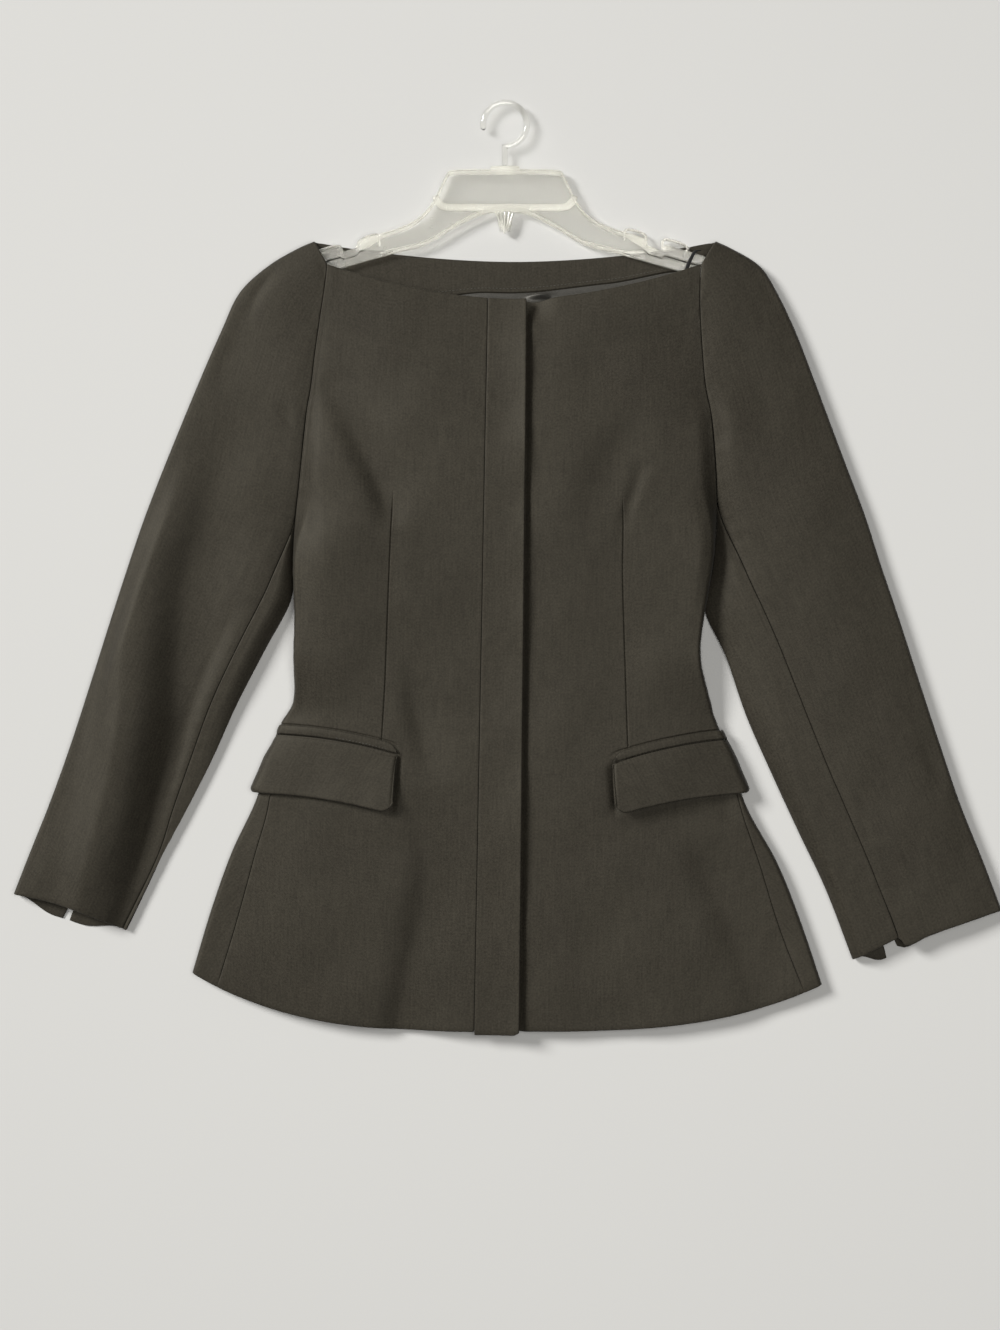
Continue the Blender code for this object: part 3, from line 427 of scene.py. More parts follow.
# soft creases: a lean, above 0 where the left side is steeper, then points with x, y, half width and height
creases = {
    "leftSleeveTrough": (0.25, [
        (-0.236, 0.318, 0.028, 0.0), (-0.246, 0.270, 0.032, -0.0020), (-0.254, 0.227, 0.034, -0.0040),
        (-0.266, 0.158, 0.034, -0.0078), (-0.278, 0.105, 0.033, -0.0104), (-0.295, 0.055, 0.033, -0.0118),
        (-0.302, -0.005, 0.033, -0.0120), (-0.306, -0.070, 0.031, -0.0124),
        (-0.315, -0.120, 0.031, -0.0122), (-0.327, -0.175, 0.031, -0.0108),
        (-0.339, -0.240, 0.030, -0.0078), (-0.355, -0.310, 0.028, 0.0)]),
    "leftSleeveRidge": (0.36, [
        (-0.290, 0.180, 0.026, 0.0), (-0.304, 0.145, 0.030, 0.0024), (-0.320, 0.100, 0.032, 0.0058),
        (-0.343, 0.050, 0.0325, 0.0116), (-0.356, -0.010, 0.0325, 0.0148),
        (-0.359, -0.070, 0.0325, 0.0158), (-0.365, -0.120, 0.0325, 0.0158),
        (-0.379, -0.175, 0.0325, 0.0146), (-0.391, -0.236, 0.031, 0.0112), (-0.404, -0.310, 0.026, 0.0)]),
    "leftHeadCrease": (0.0, [
        (-0.216, 0.348, 0.006, -0.0002), (-0.232, 0.326, 0.006, -0.0014), (-0.243, 0.300, 0.008, -0.0003)]),
    "rightHeadCrease": (0.0, [
        (0.245, 0.338, 0.006, -0.0002), (0.254, 0.324, 0.006, -0.0011), (0.264, 0.304, 0.008, -0.0002)]),
    "leftArmholePull": (0.0, [
        (-0.216, 0.224, 0.0045, -0.0001), (-0.206, 0.211, 0.004, -0.0018),
        (-0.195, 0.195, 0.004, -0.0010)]),
    "rightArmholeDimple": (0.0, [
        (0.201, 0.210, 0.008, -0.0004), (0.203, 0.194, 0.008, -0.0018), (0.206, 0.178, 0.009, -0.0003)]),
    "leftBustDrape": (0.3, [
        (-0.166, 0.252, 0.020, 0.0), (-0.146, 0.208, 0.020, -0.0044), (-0.126, 0.166, 0.018, -0.0066),
        (-0.112, 0.132, 0.016, -0.0060), (-0.106, 0.104, 0.016, 0.0)]),
    "leftBustSwell": (0.40, [
        (-0.188, 0.236, 0.030, 0.0), (-0.180, 0.196, 0.032, 0.0040), (-0.172, 0.156, 0.035, 0.0072),
        (-0.168, 0.122, 0.036, 0.0080), (-0.165, 0.060, 0.036, 0.0066), (-0.164, -0.010, 0.036, 0.0034),
        (-0.168, -0.060, 0.034, 0.0016), (-0.172, -0.100, 0.030, 0.0)]),
    "leftDartValley": (-0.45, [
        (-0.106, 0.134, 0.020, 0.0), (-0.106, 0.086, 0.020, -0.0026), (-0.109, 0.010, 0.022, -0.0026),
        (-0.114, -0.058, 0.022, -0.0018), (-0.115, -0.104, 0.020, 0.0)]),
    "rightSideSwell": (0.0, [
        (0.208, 0.244, 0.038, 0.0), (0.202, 0.190, 0.040, 0.0044), (0.198, 0.120, 0.040, 0.0052),
        (0.196, 0.060, 0.038, 0.0036), (0.196, -0.010, 0.034, 0.0)]),
    "rightBustDrape": (0.0, [
        (0.134, 0.172, 0.010, -0.0004), (0.126, 0.156, 0.007, -0.0022), (0.115, 0.122, 0.006, -0.0024),
        (0.109, 0.096, 0.009, -0.0006)]),
    "rightBustHollow": (0.0, [
        (0.126, 0.214, 0.018, -0.0004), (0.108, 0.176, 0.022, -0.0036), (0.088, 0.132, 0.024, -0.0038),
        (0.078, 0.090, 0.024, -0.0008)]),
    "rightDartValley": (-0.15, [
        (0.108, 0.120, 0.022, 0.0), (0.109, 0.050, 0.026, -0.0026), (0.112, -0.020, 0.026, -0.0026),
        (0.115, -0.100, 0.022, 0.0)]),
    "leftWaistHollow": (0.2, [
        (-0.100, 0.034, 0.014, 0.0), (-0.086, -0.040, 0.016, -0.0044), (-0.076, -0.086, 0.018, -0.0060),
        (-0.066, -0.136, 0.018, 0.0)]),
    "leftSkirtFlute": (0.35, [
        (-0.090, -0.140, 0.018, 0.0), (-0.073, -0.200, 0.022, -0.0044), (-0.077, -0.260, 0.026, -0.0060),
        (-0.091, -0.330, 0.026, -0.0072), (-0.103, -0.400, 0.026, -0.0068), (-0.112, -0.480, 0.024, 0.0)]),
    "leftSkirtSwell": (0.0, [
        (-0.170, -0.170, 0.026, 0.0004), (-0.190, -0.240, 0.028, 0.0022), (-0.206, -0.318, 0.028, 0.0014)]),
    "rightFlapShade": (0.0, [
        (0.120, -0.172, 0.012, -0.0016), (0.160, -0.168, 0.014, -0.0034), (0.205, -0.158, 0.014, -0.0030)]),
    "rightSkirtFlute": (0.25, [
        (0.162, -0.160, 0.020, 0.0), (0.196, -0.226, 0.024, -0.0046), (0.222, -0.284, 0.027, -0.0048),
        (0.240, -0.330, 0.028, -0.0034), (0.262, -0.400, 0.028, 0.0)]),
    "rightSkirtSwell": (0.0, [
        (0.070, -0.186, 0.034, -0.0004), (0.082, -0.262, 0.034, -0.0022), (0.090, -0.350, 0.032, -0.0024)]),
    "rightSleeveBand": (0.0, [
        (0.226, 0.286, 0.020, -0.0004), (0.236, 0.232, 0.022, -0.0022), (0.246, 0.170, 0.024, -0.0006)]),
    "rightElbowPush": (0.0, [
        (0.392, -0.084, 0.016, -0.0002), (0.408, -0.114, 0.012, -0.0018), (0.420, -0.142, 0.012, 0.0010),
        (0.428, -0.164, 0.012, -0.0002)]),
    "rightForearmSoft": (0.0, [
        (0.330, -0.020, 0.024, -0.0002), (0.352, -0.110, 0.026, -0.0018), (0.384, -0.210, 0.024, -0.0006)]),
}
hiddenCreases = {       # on the underside the cloth stands off the floor along these
    "backWaistLeft": (0.0, [
        (0.090, -0.010, 0.016, 0.0004), (0.040, -0.028, 0.018, 0.0026), (-0.020, -0.022, 0.016, 0.0006)]),
    "backWaistRight": (0.0, [
        (-0.120, 0.030, 0.014, 0.0004), (-0.080, 0.014, 0.016, 0.0022), (-0.040, 0.020, 0.014, 0.0004)]),
    "backSkirtFlute": (0.0, [
        (-0.060, -0.150, 0.018, 0.0006), (-0.072, -0.240, 0.022, 0.0032), (-0.094, -0.346, 0.026, 0.0040)]),
    "backSkirtFold": (0.0, [
        (0.110, -0.170, 0.016, 0.0004), (0.136, -0.250, 0.022, 0.0030), (0.152, -0.336, 0.024, 0.0036)]),
    "backBlade": (0.0, [
        (-0.110, 0.250, 0.022, 0.0004), (-0.070, 0.180, 0.024, 0.0018), (-0.056, 0.110, 0.020, 0.0004)]),
    "leftElbowFold": (0.0, [
        (-0.392, -0.070, 0.010, 0.0004), (-0.352, -0.050, 0.011, 0.0026), (-0.318, -0.046, 0.010, 0.0004)]),
    "leftElbowTuck": (0.0, [
        (-0.372, 0.000, 0.010, 0.0002), (-0.330, 0.016, 0.012, 0.0018), (-0.300, 0.012, 0.010, 0.0002)]),
    "rightElbowFold": (0.0, [
        (0.388, -0.060, 0.010, 0.0004), (0.340, -0.040, 0.012, 0.0028), (0.288, -0.048, 0.010, 0.0004)]),
    "rightElbowTuck": (0.0, [
        (0.360, 0.012, 0.010, 0.0002), (0.310, 0.030, 0.011, 0.0016), (0.270, 0.020, 0.010, 0.0002)]),
}
creaseSteps = 5
lieMake = {
    "height": 0.00028, "waves": [(1.0, 61.0, 23.0, 0.7), (1.0, -34.0, 71.0, 2.1), (0.7, 105.0, -57.0, 4.0)],
}


def creaseRuns(table):
    return [(smoothRun(points, creaseSteps), lean) for lean, points in table.values()]


topRuns, undersideRuns = creaseRuns(creases), creaseRuns(hiddenCreases)


def runHeight(x, y, runs):
    x, y = np.broadcast_arrays(x, y)
    total = np.zeros(x.shape)
    for run, lean in runs:
        best, width, height = np.ones(x.shape), np.ones(x.shape), np.zeros(x.shape)
        for a, b in zip(run, run[1:]):
            dx, dy = b[0] - a[0], b[1] - a[1]
            t = np.clip(((x - a[0]) * dx + (y - a[1]) * dy) / (dx * dx + dy * dy), 0.0, 1.0)
            gone = np.hypot(x - a[0] - dx * t, y - a[1] - dy * t)
            near = gone < best
            best = np.where(near, gone, best)
            half = mix(a[2], b[2], t) * np.where(x < a[0] + dx * t, 1.0 - lean, 1.0 + lean)
            width = np.where(near, half, width)
            height = np.where(near, mix(a[3], b[3], t), height)
        total = total + height * np.exp(-(best / width) ** 2)
    return total


def creaseHeight(x, y):
    # the creases and a low uneven lie all over
    lie = sum(share * np.sin(a * x + b * y + phase) for share, a, b, phase in lieMake["waves"])
    return runHeight(x, y, topRuns) + lieMake["height"] * lie


def curlFall(distance):
    short = np.clip(1.0 - distance / shell["crisp"], 0.0, 1.0)
    return shell["roll"] * (1.0 - np.sqrt(1.0 - short ** 2))


# closed flat tubes from the hem up to the underarm, then the chest between the armholes
bodyCut = {
    "columns": "midY leftX leftY rightX rightY crown seamL seamR",
    "rows": [
        (-0.367, -0.294, -0.312, 0.298, -0.323, 0.015, 0.920, 0.943),
        (-0.306, -0.276, -0.252, 0.277, -0.261, 0.019, 0.914, 0.930),
        (-0.235, -0.257, -0.199, 0.256, -0.209, 0.022, 0.919, 0.938),
        (-0.164, -0.235, -0.152, 0.227, -0.156, 0.025, 0.943, 0.975),
        (-0.113, -0.220, -0.105, 0.211, -0.105, 0.026, 1.000, 1.010),
        (-0.083, -0.210, -0.077, 0.199, -0.077, 0.026, 1.200, 1.200),
        (-0.056, -0.199, -0.056, 0.193, -0.056, 0.025, 1.250, 1.250),
        (-0.014, -0.199, -0.014, 0.184, -0.014, 0.025, 1.250, 1.250),
        (0.033, -0.198, 0.028, 0.189, 0.033, 0.028, 1.250, 1.250),
        (0.075, -0.200, 0.070, 0.197, 0.075, 0.031, 1.150, 1.150),
        (0.109, -0.199, 0.103, 0.200, 0.120, 0.033, 1.000, 1.000),
    ],
    "chestColumns": "midY crown",
    "chest": [(0.109, 0.033), (0.149, 0.034), (0.190, 0.034), (0.218, 0.032), (0.246, 0.029), (0.275, 0.025),
              (0.300, 0.021), (0.319, 0.018)],
    "backNeckY": 0.356, "neckBow": 1.8, "bowEnds": (3.2, 1.8), "fineColumns": 320,
    "crownPower": 3.2, "creaseRamp": 4.0,       # no crease at the edge itself
    "boxSide": 0.013, "boxFrom": -0.080, "boxOver": 0.070,      # straighter sides above the waist
}
hemY, neckY = bodyCut["rows"][0][0], bodyCut["chest"][-1][0]

sleeveCut = {
    "headColumns": "outerX outerY seamX seamY seamZ backX backY crown",
    "heads": {
        "left": [
            (-0.326, 0.150, -0.199, 0.103, 0.009, -0.193, 0.103, 0.022),
            (-0.307, 0.197, -0.193, 0.150, 0.016, -0.186, 0.150, 0.022),
            (-0.282, 0.257, -0.187, 0.207, 0.019, -0.180, 0.204, 0.022),
            (-0.266, 0.293, -0.182, 0.237, 0.019, -0.176, 0.240, 0.021),
            (-0.250, 0.327, -0.178, 0.271, 0.018, -0.171, 0.276, 0.020),
            (-0.223, 0.352, -0.173, 0.306, 0.017, -0.166, 0.310, 0.018),
            (-0.196, 0.368, -0.169, 0.333, 0.016, -0.161, 0.343, 0.017),
            (-0.180, 0.375, -0.167, 0.352, 0.015, -0.156, 0.370, 0.0155),
        ],
        "right": [
            (0.322, 0.162, 0.200, 0.120, 0.009, 0.194, 0.120, 0.022),
            (0.307, 0.202, 0.198, 0.160, 0.016, 0.190, 0.160, 0.022),
            (0.285, 0.261, 0.194, 0.207, 0.019, 0.186, 0.206, 0.022),
            (0.271, 0.296, 0.188, 0.237, 0.019, 0.182, 0.240, 0.021),
            (0.256, 0.327, 0.185, 0.271, 0.018, 0.179, 0.276, 0.020),
            (0.240, 0.352, 0.183, 0.308, 0.017, 0.176, 0.310, 0.018),
            (0.214, 0.368, 0.183, 0.333, 0.016, 0.175, 0.343, 0.017),
            (0.199, 0.375, 0.184, 0.352, 0.015, 0.174, 0.370, 0.0155),
        ],
    },
    "armColumns": "outerX outerY innerX innerY seamAt backAt seamZ crown slit drop fall",
    "arms": {
        "left": [
            (-0.326, 0.150, -0.1990, 0.096, 0.970, 0.80, 0.009, 0.022, 0.0, 0.0, 0.005),
            (-0.340, 0.113, -0.1994, 0.061, 0.885, 0.76, 0.013, 0.022, 0.0, 0.0, 0.012),
            (-0.353, 0.075, -0.2030, 0.034, 0.840, 0.72, 0.015, 0.022, 0.0, 0.0, 0.016),
            (-0.369, 0.026, -0.2258, -0.009, 0.835, 0.68, 0.016, 0.022, 0.0, 0.0, 0.015),
            (-0.388, -0.034, -0.253, -0.062, 0.835, 0.63, 0.0132, 0.022, 0.0, 0.0, 0.014),
            (-0.408, -0.096, -0.276, -0.113, 0.855, 0.58, 0.0086, 0.021, 0.0, 0.0, 0.012),
            (-0.428, -0.152, -0.301, -0.162, 0.905, 0.53, 0.0068, 0.020, 0.0, 0.0, 0.009),
            (-0.446, -0.197, -0.324, -0.205, 0.972, 0.49, 0.0060, 0.0195, 0.0, 0.003, 0.003),
            (-0.462, -0.238, -0.357, -0.272, 0.974, 0.46, 0.0058, 0.0180, 0.003, 0.009, 0.003),
        ],
        "right": [
            (0.322, 0.162, 0.1993, 0.113, 0.970, 0.80, 0.009, 0.022, 0.0, 0.0, 0.005),
            (0.339, 0.117, 0.1957, 0.070, 0.830, 0.77, 0.014, 0.022, 0.0, 0.0, 0.018),
            (0.353, 0.073, 0.1880, 0.030, 0.710, 0.74, 0.018, 0.022, 0.0, 0.0, 0.042),
            (0.370, 0.023, 0.2078, -0.015, 0.700, 0.74, 0.019, 0.022, 0.0, 0.0, 0.042),
            (0.390, -0.039, 0.227, -0.071, 0.680, 0.73, 0.019, 0.022, 0.0, 0.0, 0.030),
            (0.410, -0.100, 0.252, -0.128, 0.680, 0.73, 0.019, 0.022, 0.0, 0.0, 0.022),
            (0.429, -0.156, 0.276, -0.180, 0.675, 0.73, 0.018, 0.021, 0.0, 0.0, 0.016),
            (0.448, -0.203, 0.302, -0.235, 0.685, 0.73, 0.017, 0.019, 0.0, 0.003, 0.013),
            (0.467, -0.253, 0.327, -0.300, 0.700, 0.73, 0.015, 0.017, 0.005, 0.010, 0.012),
        ],
    },
}


def lineAt(ends, midY):
    return mix(ends[0], ends[1], (midY - hemY) / (neckY - hemY))


def headRows(word, steps):
    return tableRows(sleeveCut["headColumns"], sleeveCut["heads"][word], steps)


def bodyRows(steps):
    rows = tableRows(bodyCut["columns"], bodyCut["rows"], steps)
    even = np.ones_like(rows["midY"])
    rows.update(edgeL=even * shell["roll"], edgeR=even * shell["roll"], curl=even, creased=even,
                bow=lineAt(bodyCut["bowEnds"], rows["midY"]))
    return rows


def chestRows(steps):
    rows = tableRows(bodyCut["chestColumns"], bodyCut["chest"], steps)
    left, right = headRows("left", steps), headRows("right", steps)
    even = np.ones_like(rows["midY"])
    rows.update(leftX=left["seamX"], leftY=left["seamY"], rightX=right["seamX"], rightY=right["seamY"],
                edgeL=left["seamZ"], edgeR=right["seamZ"], curl=even * 0.0, creased=even,
                seamL=even, seamR=even, bow=lineAt(bodyCut["bowEnds"], rows["midY"]))
    return rows


def planAt(rows, f):
    x = mix(rows["leftX"], rows["rightX"], 0.5 + 0.5 * f)
    end = np.where(f < 0.0, rows["leftY"], rows["rightY"])
    return x, mix(rows["midY"], end, np.abs(f) ** rows["bow"])


def crownRise(f):
    return 1.0 - np.abs(f) ** bodyCut["crownPower"]


def creaseFade(f):
    return ramp(bodyCut["creaseRamp"] * crownRise(f))


def heightAt(rows, f):
    box = rows["curl"] * bodyCut["boxSide"] * ramp((rows["midY"] - bodyCut["boxFrom"]) / bodyCut["boxOver"])
    edge = mix(rows["edgeL"], rows["edgeR"], 0.5 + 0.5 * f) + rows["curl"] * shell["roll"] + box
    reach = (1.0 - np.abs(f)) * 0.5 * (rows["rightX"] - rows["leftX"])
    soft = rows["creased"] * creaseHeight(*planAt(rows, f)) * creaseFade(f)
    curled = (rows["curl"] + box / shell["roll"]) * curlFall(reach)
    return edge + (rows["crown"] - edge) * crownRise(f) + soft - curled


def sectionAt(rows, s):
    # s runs -1 to 1 over the top, to 2 round the roll, to 3 along the underside
    s = np.where(s > 3.0, s - 6.0, s)
    f = np.clip(s, -1.0, 1.0)
    x, y = planAt(rows, f)
    z = heightAt(rows, f)
    side = np.sign(s)
    radius = np.where(s < 0.0, rows["edgeL"], rows["edgeR"])
    turn = np.clip(np.abs(s) - 1.0, 0.0, 1.0) * math.pi / 2.0
    folded = np.abs(s) > 1.0
    x = x - side * radius * (1.0 - np.cos(turn))
    z = np.where(folded, radius * (1.0 - np.sin(turn)), z)
    share = np.clip(np.abs(s) - 2.0, 0.0, 1.0)
    x = mix(x, 0.5 * (rows["leftX"] + rows["rightX"]), share)
    y = np.where(share > 0.0, planAt(rows, side * (1.0 - share))[1], y)
    return np.stack([x, y, z], axis=-1)


def spreadColumns(rows, start, end, shares, inset):
    fine = start + (end - start) * np.linspace(0.0, 1.0, bodyCut["fineColumns"])
    length = runLength(sectionAt(rows, fine), 1)
    wanted = inset[0] + np.asarray(shares) * (length[:, -1:] - inset[0] - inset[1])
    return np.array([np.interp(want, run, s) for want, run, s in zip(wanted, length, fine)])


def shareAt(rows, x):
    return 2.0 * (x - rows["leftX"]) / (rows["rightX"] - rows["leftX"]) - 1.0


def seamGap(rows):
    return mix(shell["hemInset"], shell["seamInset"], ramp((rows["midY"] - hemY) / shell["hemFade"]))


puckers = {     # share of the height, reach from the seam, phase
    "frontPanel_left": (1.0, 0.011, -0.6), "frontPanel_right": (1.0, 0.011, 1.4),
    "placketSeam": (0.6, 0.008, 1.9), "placketStrip": (0.7, 0.007, 1.1),
    "upperSleeve_left": (1.0, 0.010, 0.9), "upperSleeve_right": (1.0, 0.010, 2.3),
    "underSleeve_left": (1.0, 0.008, 0.2), "underSleeve_right": (1.0, 0.008, 1.4),
}


def seamPucker(grid, column, name):
    # small uneven puckers that die away from a sewn edge
    share, reach, phase = puckers[name]
    (quick, slow, other), (steady, swing, more) = shell["puckerWaves"], shell["puckerShares"]
    gone = np.linalg.norm(grid - grid[:, [column]], axis=2)
    run = runLength(grid[:, column], 0)[:, None]
    beat = np.sin(quick * run + phase) * (steady + swing * np.sin(slow * run + 2.0 * phase))
    beat = beat + more * np.sin(other * run + 3.0 * phase)
    near = np.exp(-(gone / reach) ** 2) * ramp(gone / shell["puckerStart"])
    return share * shell["pucker"] * beat * near


pocketCut = {
    "left": {"side": -1.0, "innerX": -0.0995, "outerY": -0.0880, "innerY": -0.1065, "bend": 0.0045,
             "depthOuter": 0.054, "depthInner": 0.054, "welt": 0.0080, "lean": 0.0060, "weltOver": -0.0016},
    "right": {"side": 1.0, "innerX": 0.0980, "outerY": -0.0920, "innerY": -0.1150, "bend": 0.0040,
              "depthOuter": 0.050, "depthInner": 0.047, "welt": 0.0075, "lean": 0.0045, "weltOver": 0.0008},
    "length": 0.118, "round": 0.009, "nose": 0.0045,
    "start": 1.06, "tuck": 1.03,        # both ends in the turn of the side, where 1 is the side itself
    "flapWall": 0.0024, "weltWall": 0.0018, "clear": 0.00045, "flapGap": 0.0017, "weltGap": 0.0014,
    "closeFrom": -0.2, "closeOver": 0.08,       # welt and flap meet at the side
    "kick": 0.0034, "kickPower": 1.5, "kickRamp": 3.0, "kickWave": (0.3, 9.0, 1.0),
    "innerLift": 0.0036, "innerPower": 0.7, "innerFrom": 0.72, "overhang": 0.0014, "overRamp": 4.0,
    "underWelt": 0.0006,
    "endRoll": 0.0032, "endFall": 0.0020, "endRound": 0.98,         # the flap's turned inner edge rolls down
    "flare": 0.0055, "flareReach": 0.030, "flareFrom": 0.9, "flareBack": 0.6,   # its outer corner stands out
    "flapSwell": (0.00045, 1.06), "flapSink": (0.0008, 0.03), "weltSwell": 0.0003,
    "weltInner": (0.92, 0.30), "weltOuter": (0.035, 0.70),      # the welt rounds off at both ends
    "trench": 0.0036, "trenchSide": (0.0012, 0.0040), "trenchEnds": (0.001, 0.005, 0.010), "leanPower": 0.7,
    "grooveDepth": 0.0013, "grooveWidth": 0.0006, "grooveEnds": (0.03, 0.02), "grooveAbove": 0.0013,
    "flapRows": 34, "weltRows": 12, "bendColumns": 10, "runColumns": 60, "probe": 0.002,
    "flapFlat": {"left": (0.128, 0.064, 0.0078), "right": (0.124, 0.058, 0.0067)},
    "weltFlat": {"left": (0.128, 0.0115, 0.00114), "right": (0.124, 0.0105, 0.00103)},
}
# the fronts' rows lie close together at the welts
rowPlan = {"fineSteps": 24, "weltBand": (4, 5.15), "bandRows": 70, "aboveSpans": 5}
fineRows = bodyRows(rowPlan["fineSteps"])


def rowsAt(place):
    index = np.arange(len(fineRows["midY"]))
    return {name: np.interp(place, index, values[:, 0])[:, None] for name, values in fineRows.items()}


def pocketLine(pocket, share):
    return mix(pocket["outerY"], pocket["innerY"], share) + pocket["bend"] * 4.0 * share * (1.0 - share)


def weltRise(pocket, share):
    (inner, low), (outer, less) = pocketCut["weltInner"], pocketCut["weltOuter"]
    near = np.clip((share - inner) / (1.0 - inner), 0.0, 1.0)
    far = np.clip(1.0 - share / outer, 0.0, 1.0)
    return pocket["welt"] * mix(low, 1.0, np.sqrt(1.0 - near ** 2)) * mix(less, 1.0, np.sqrt(1.0 - far ** 2))


def lowerPlaces():
    (low, high), step = rowPlan["weltBand"], shell["rowSteps"]
    below = np.linspace(0.0, low, low * step + 1)[:-1]
    band = np.linspace(low, high, rowPlan["bandRows"])[:-1]
    above = np.linspace(high, len(bodyCut["rows"]) - 1.0, rowPlan["aboveSpans"] * step)
    return np.concatenate([below, band, above])


lowerRows = rowsAt(rowPlan["fineSteps"] * lowerPlaces())
upperRows = chestRows(shell["rowSteps"])
frontRows = {name: np.vstack([lowerRows[name], upperRows[name][1:]]) for name in lowerRows}

placketCut = {
    "sewn": (-0.029, -0.016), "free": (0.013, 0.020),       # x at the hem and at the neck
    "columns": 22, "freeInset": 0.0008, "flat": (0.044, 0.700, 0.0275),
    "lift": 0.0042, "liftPower": 2.2, "waves": [(0.22, 31.0, 0.8), (0.12, 77.0, 0.0)],
    "foot": 0.0030, "footRows": 5.0, "footCorner": (0.86, 0.0022),
    "underlap": 0.010, "sink": 0.0024, "sinkFade": 0.045,       # the right front below it
    "neckDip": (0.0030, 0.0040), "dipFade": 0.030, "dipAt": (0.008, 0.013), "trench": (0.0045, 0.0065, 0.016),
}
frontCut = {
    "darts": {
        "left": [(0.319, -0.094), (0.200, -0.101), (0.143, -0.104), (0.110, -0.106), (0.038, -0.109),
                 (-0.038, -0.112), (-0.090, -0.115), (-0.200, -0.122), (-0.367, -0.130)],
        "right": [(0.319, 0.100), (0.200, 0.107), (0.135, 0.110), (0.103, 0.111), (0.067, 0.1092),
                  (0.038, 0.1105), (-0.097, 0.115), (-0.200, 0.124), (-0.367, 0.134)],
    },
    "dartTop": {"left": 0.146, "right": 0.138}, "dartFoot": -0.100, "dartDepth": 0.0011, "dartFade": 0.030,
    "dartWidth": 0.00055, "dartBeside": 0.0032,
    "dartOffsets": [-0.0022, -0.0014, -0.0009, -0.0005, -0.0002, 0.0, 0.0002, 0.0005, 0.0009, 0.0014, 0.0022],
    "sideColumns": 44, "middleColumns": 60, "sideBend": 0.45, "easeReach": 30, "easeTimes": 90,
    "flat": {"left": (0.286, 0.722, 0.1350), "right": (0.296, 0.722, 0.1580)},
}


def dartLine(word, y):
    marks = np.array(frontCut["darts"][word][::-1])
    return np.interp(y, marks[:, 0], marks[:, 1])


def easedForm(rows, columns):
    # eases the form where the curl ends and the armhole starts, then lays the creases on it
    turn, reach = len(lowerRows["midY"]) - 1, frontCut["easeReach"]
    plain = sectionAt({**rows, "creased": 0.0 * rows["creased"]}, columns)
    form = np.dstack([plain, creaseFade(columns)])
    easeRows(form[turn - reach:turn + reach + 1], frontCut["easeTimes"])
    grid = form[:, :, :3].copy()
    grid[:, :, 2] += form[:, :, 3] * creaseHeight(grid[:, :, 0], grid[:, :, 1])
    return grid


def sinkUnderPlacket(grid, rows):
    # the right front sinks under the placket, and its neck edge dips beside it
    beside = grid[:, :, 0] - lineAt(placketCut["free"], rows["midY"])
    fromNeck = neckY - rows["midY"]
    grid[:, :, 2] -= placketCut["sink"] * (1.0 - ramp(beside / placketCut["sinkFade"]))
    middle, reach = placketCut["dipAt"]
    dip = ramp(1.0 - fromNeck / placketCut["dipFade"]) * np.exp(-((beside - middle) / reach) ** 2)
    grid[:, :, 1:] -= dip[:, :, None] * np.array(placketCut["neckDip"])
    depth, width, fade = placketCut["trench"]
    grid[:, :, 2] -= depth * ramp(fromNeck / fade) * (1.0 - ramp(beside / width))


def pocketBed(word, rows, columns, grid):
    # a trench beside the flap's inner edge, and the grooves that the welt is sewn into
    pocket, start, width = pocketCut[word], pocketCut["start"], pocketCut["grooveWidth"]
    share = (start - np.abs(columns)) / (start - np.abs(shareAt(rows, pocket["innerX"])))
    gone = grid[:, :, 1] - pocketLine(pocket, share)
    lean = pocket["lean"] * np.clip(-gone / pocket["depthInner"], 0.0, 1.0) ** pocketCut["leanPower"]
    inward = lean - pocket["side"] * (grid[:, :, 0] - pocket["innerX"])
    above, past, fade = pocketCut["trenchEnds"]
    along = ramp((above - gone) / fade) * ramp((pocket["depthInner"] + past + gone) / fade)
    shift, reach = pocketCut["trenchSide"]
    grid[:, :, 2] -= pocketCut["trench"] * along * np.exp(-((inward + shift) / reach) ** 2)
    top = gone - weltRise(pocket, share) - pocketCut["grooveAbove"]
    groove = np.exp(-(top / width) ** 2) + np.exp(-(gone / (2.0 * width)) ** 2)
    outer, inner = pocketCut["grooveEnds"]
    ends = ramp(share / outer) * ramp((1.0 - share) / inner)
    return pocketCut["grooveDepth"] * np.minimum(groove, 1.0) * ends


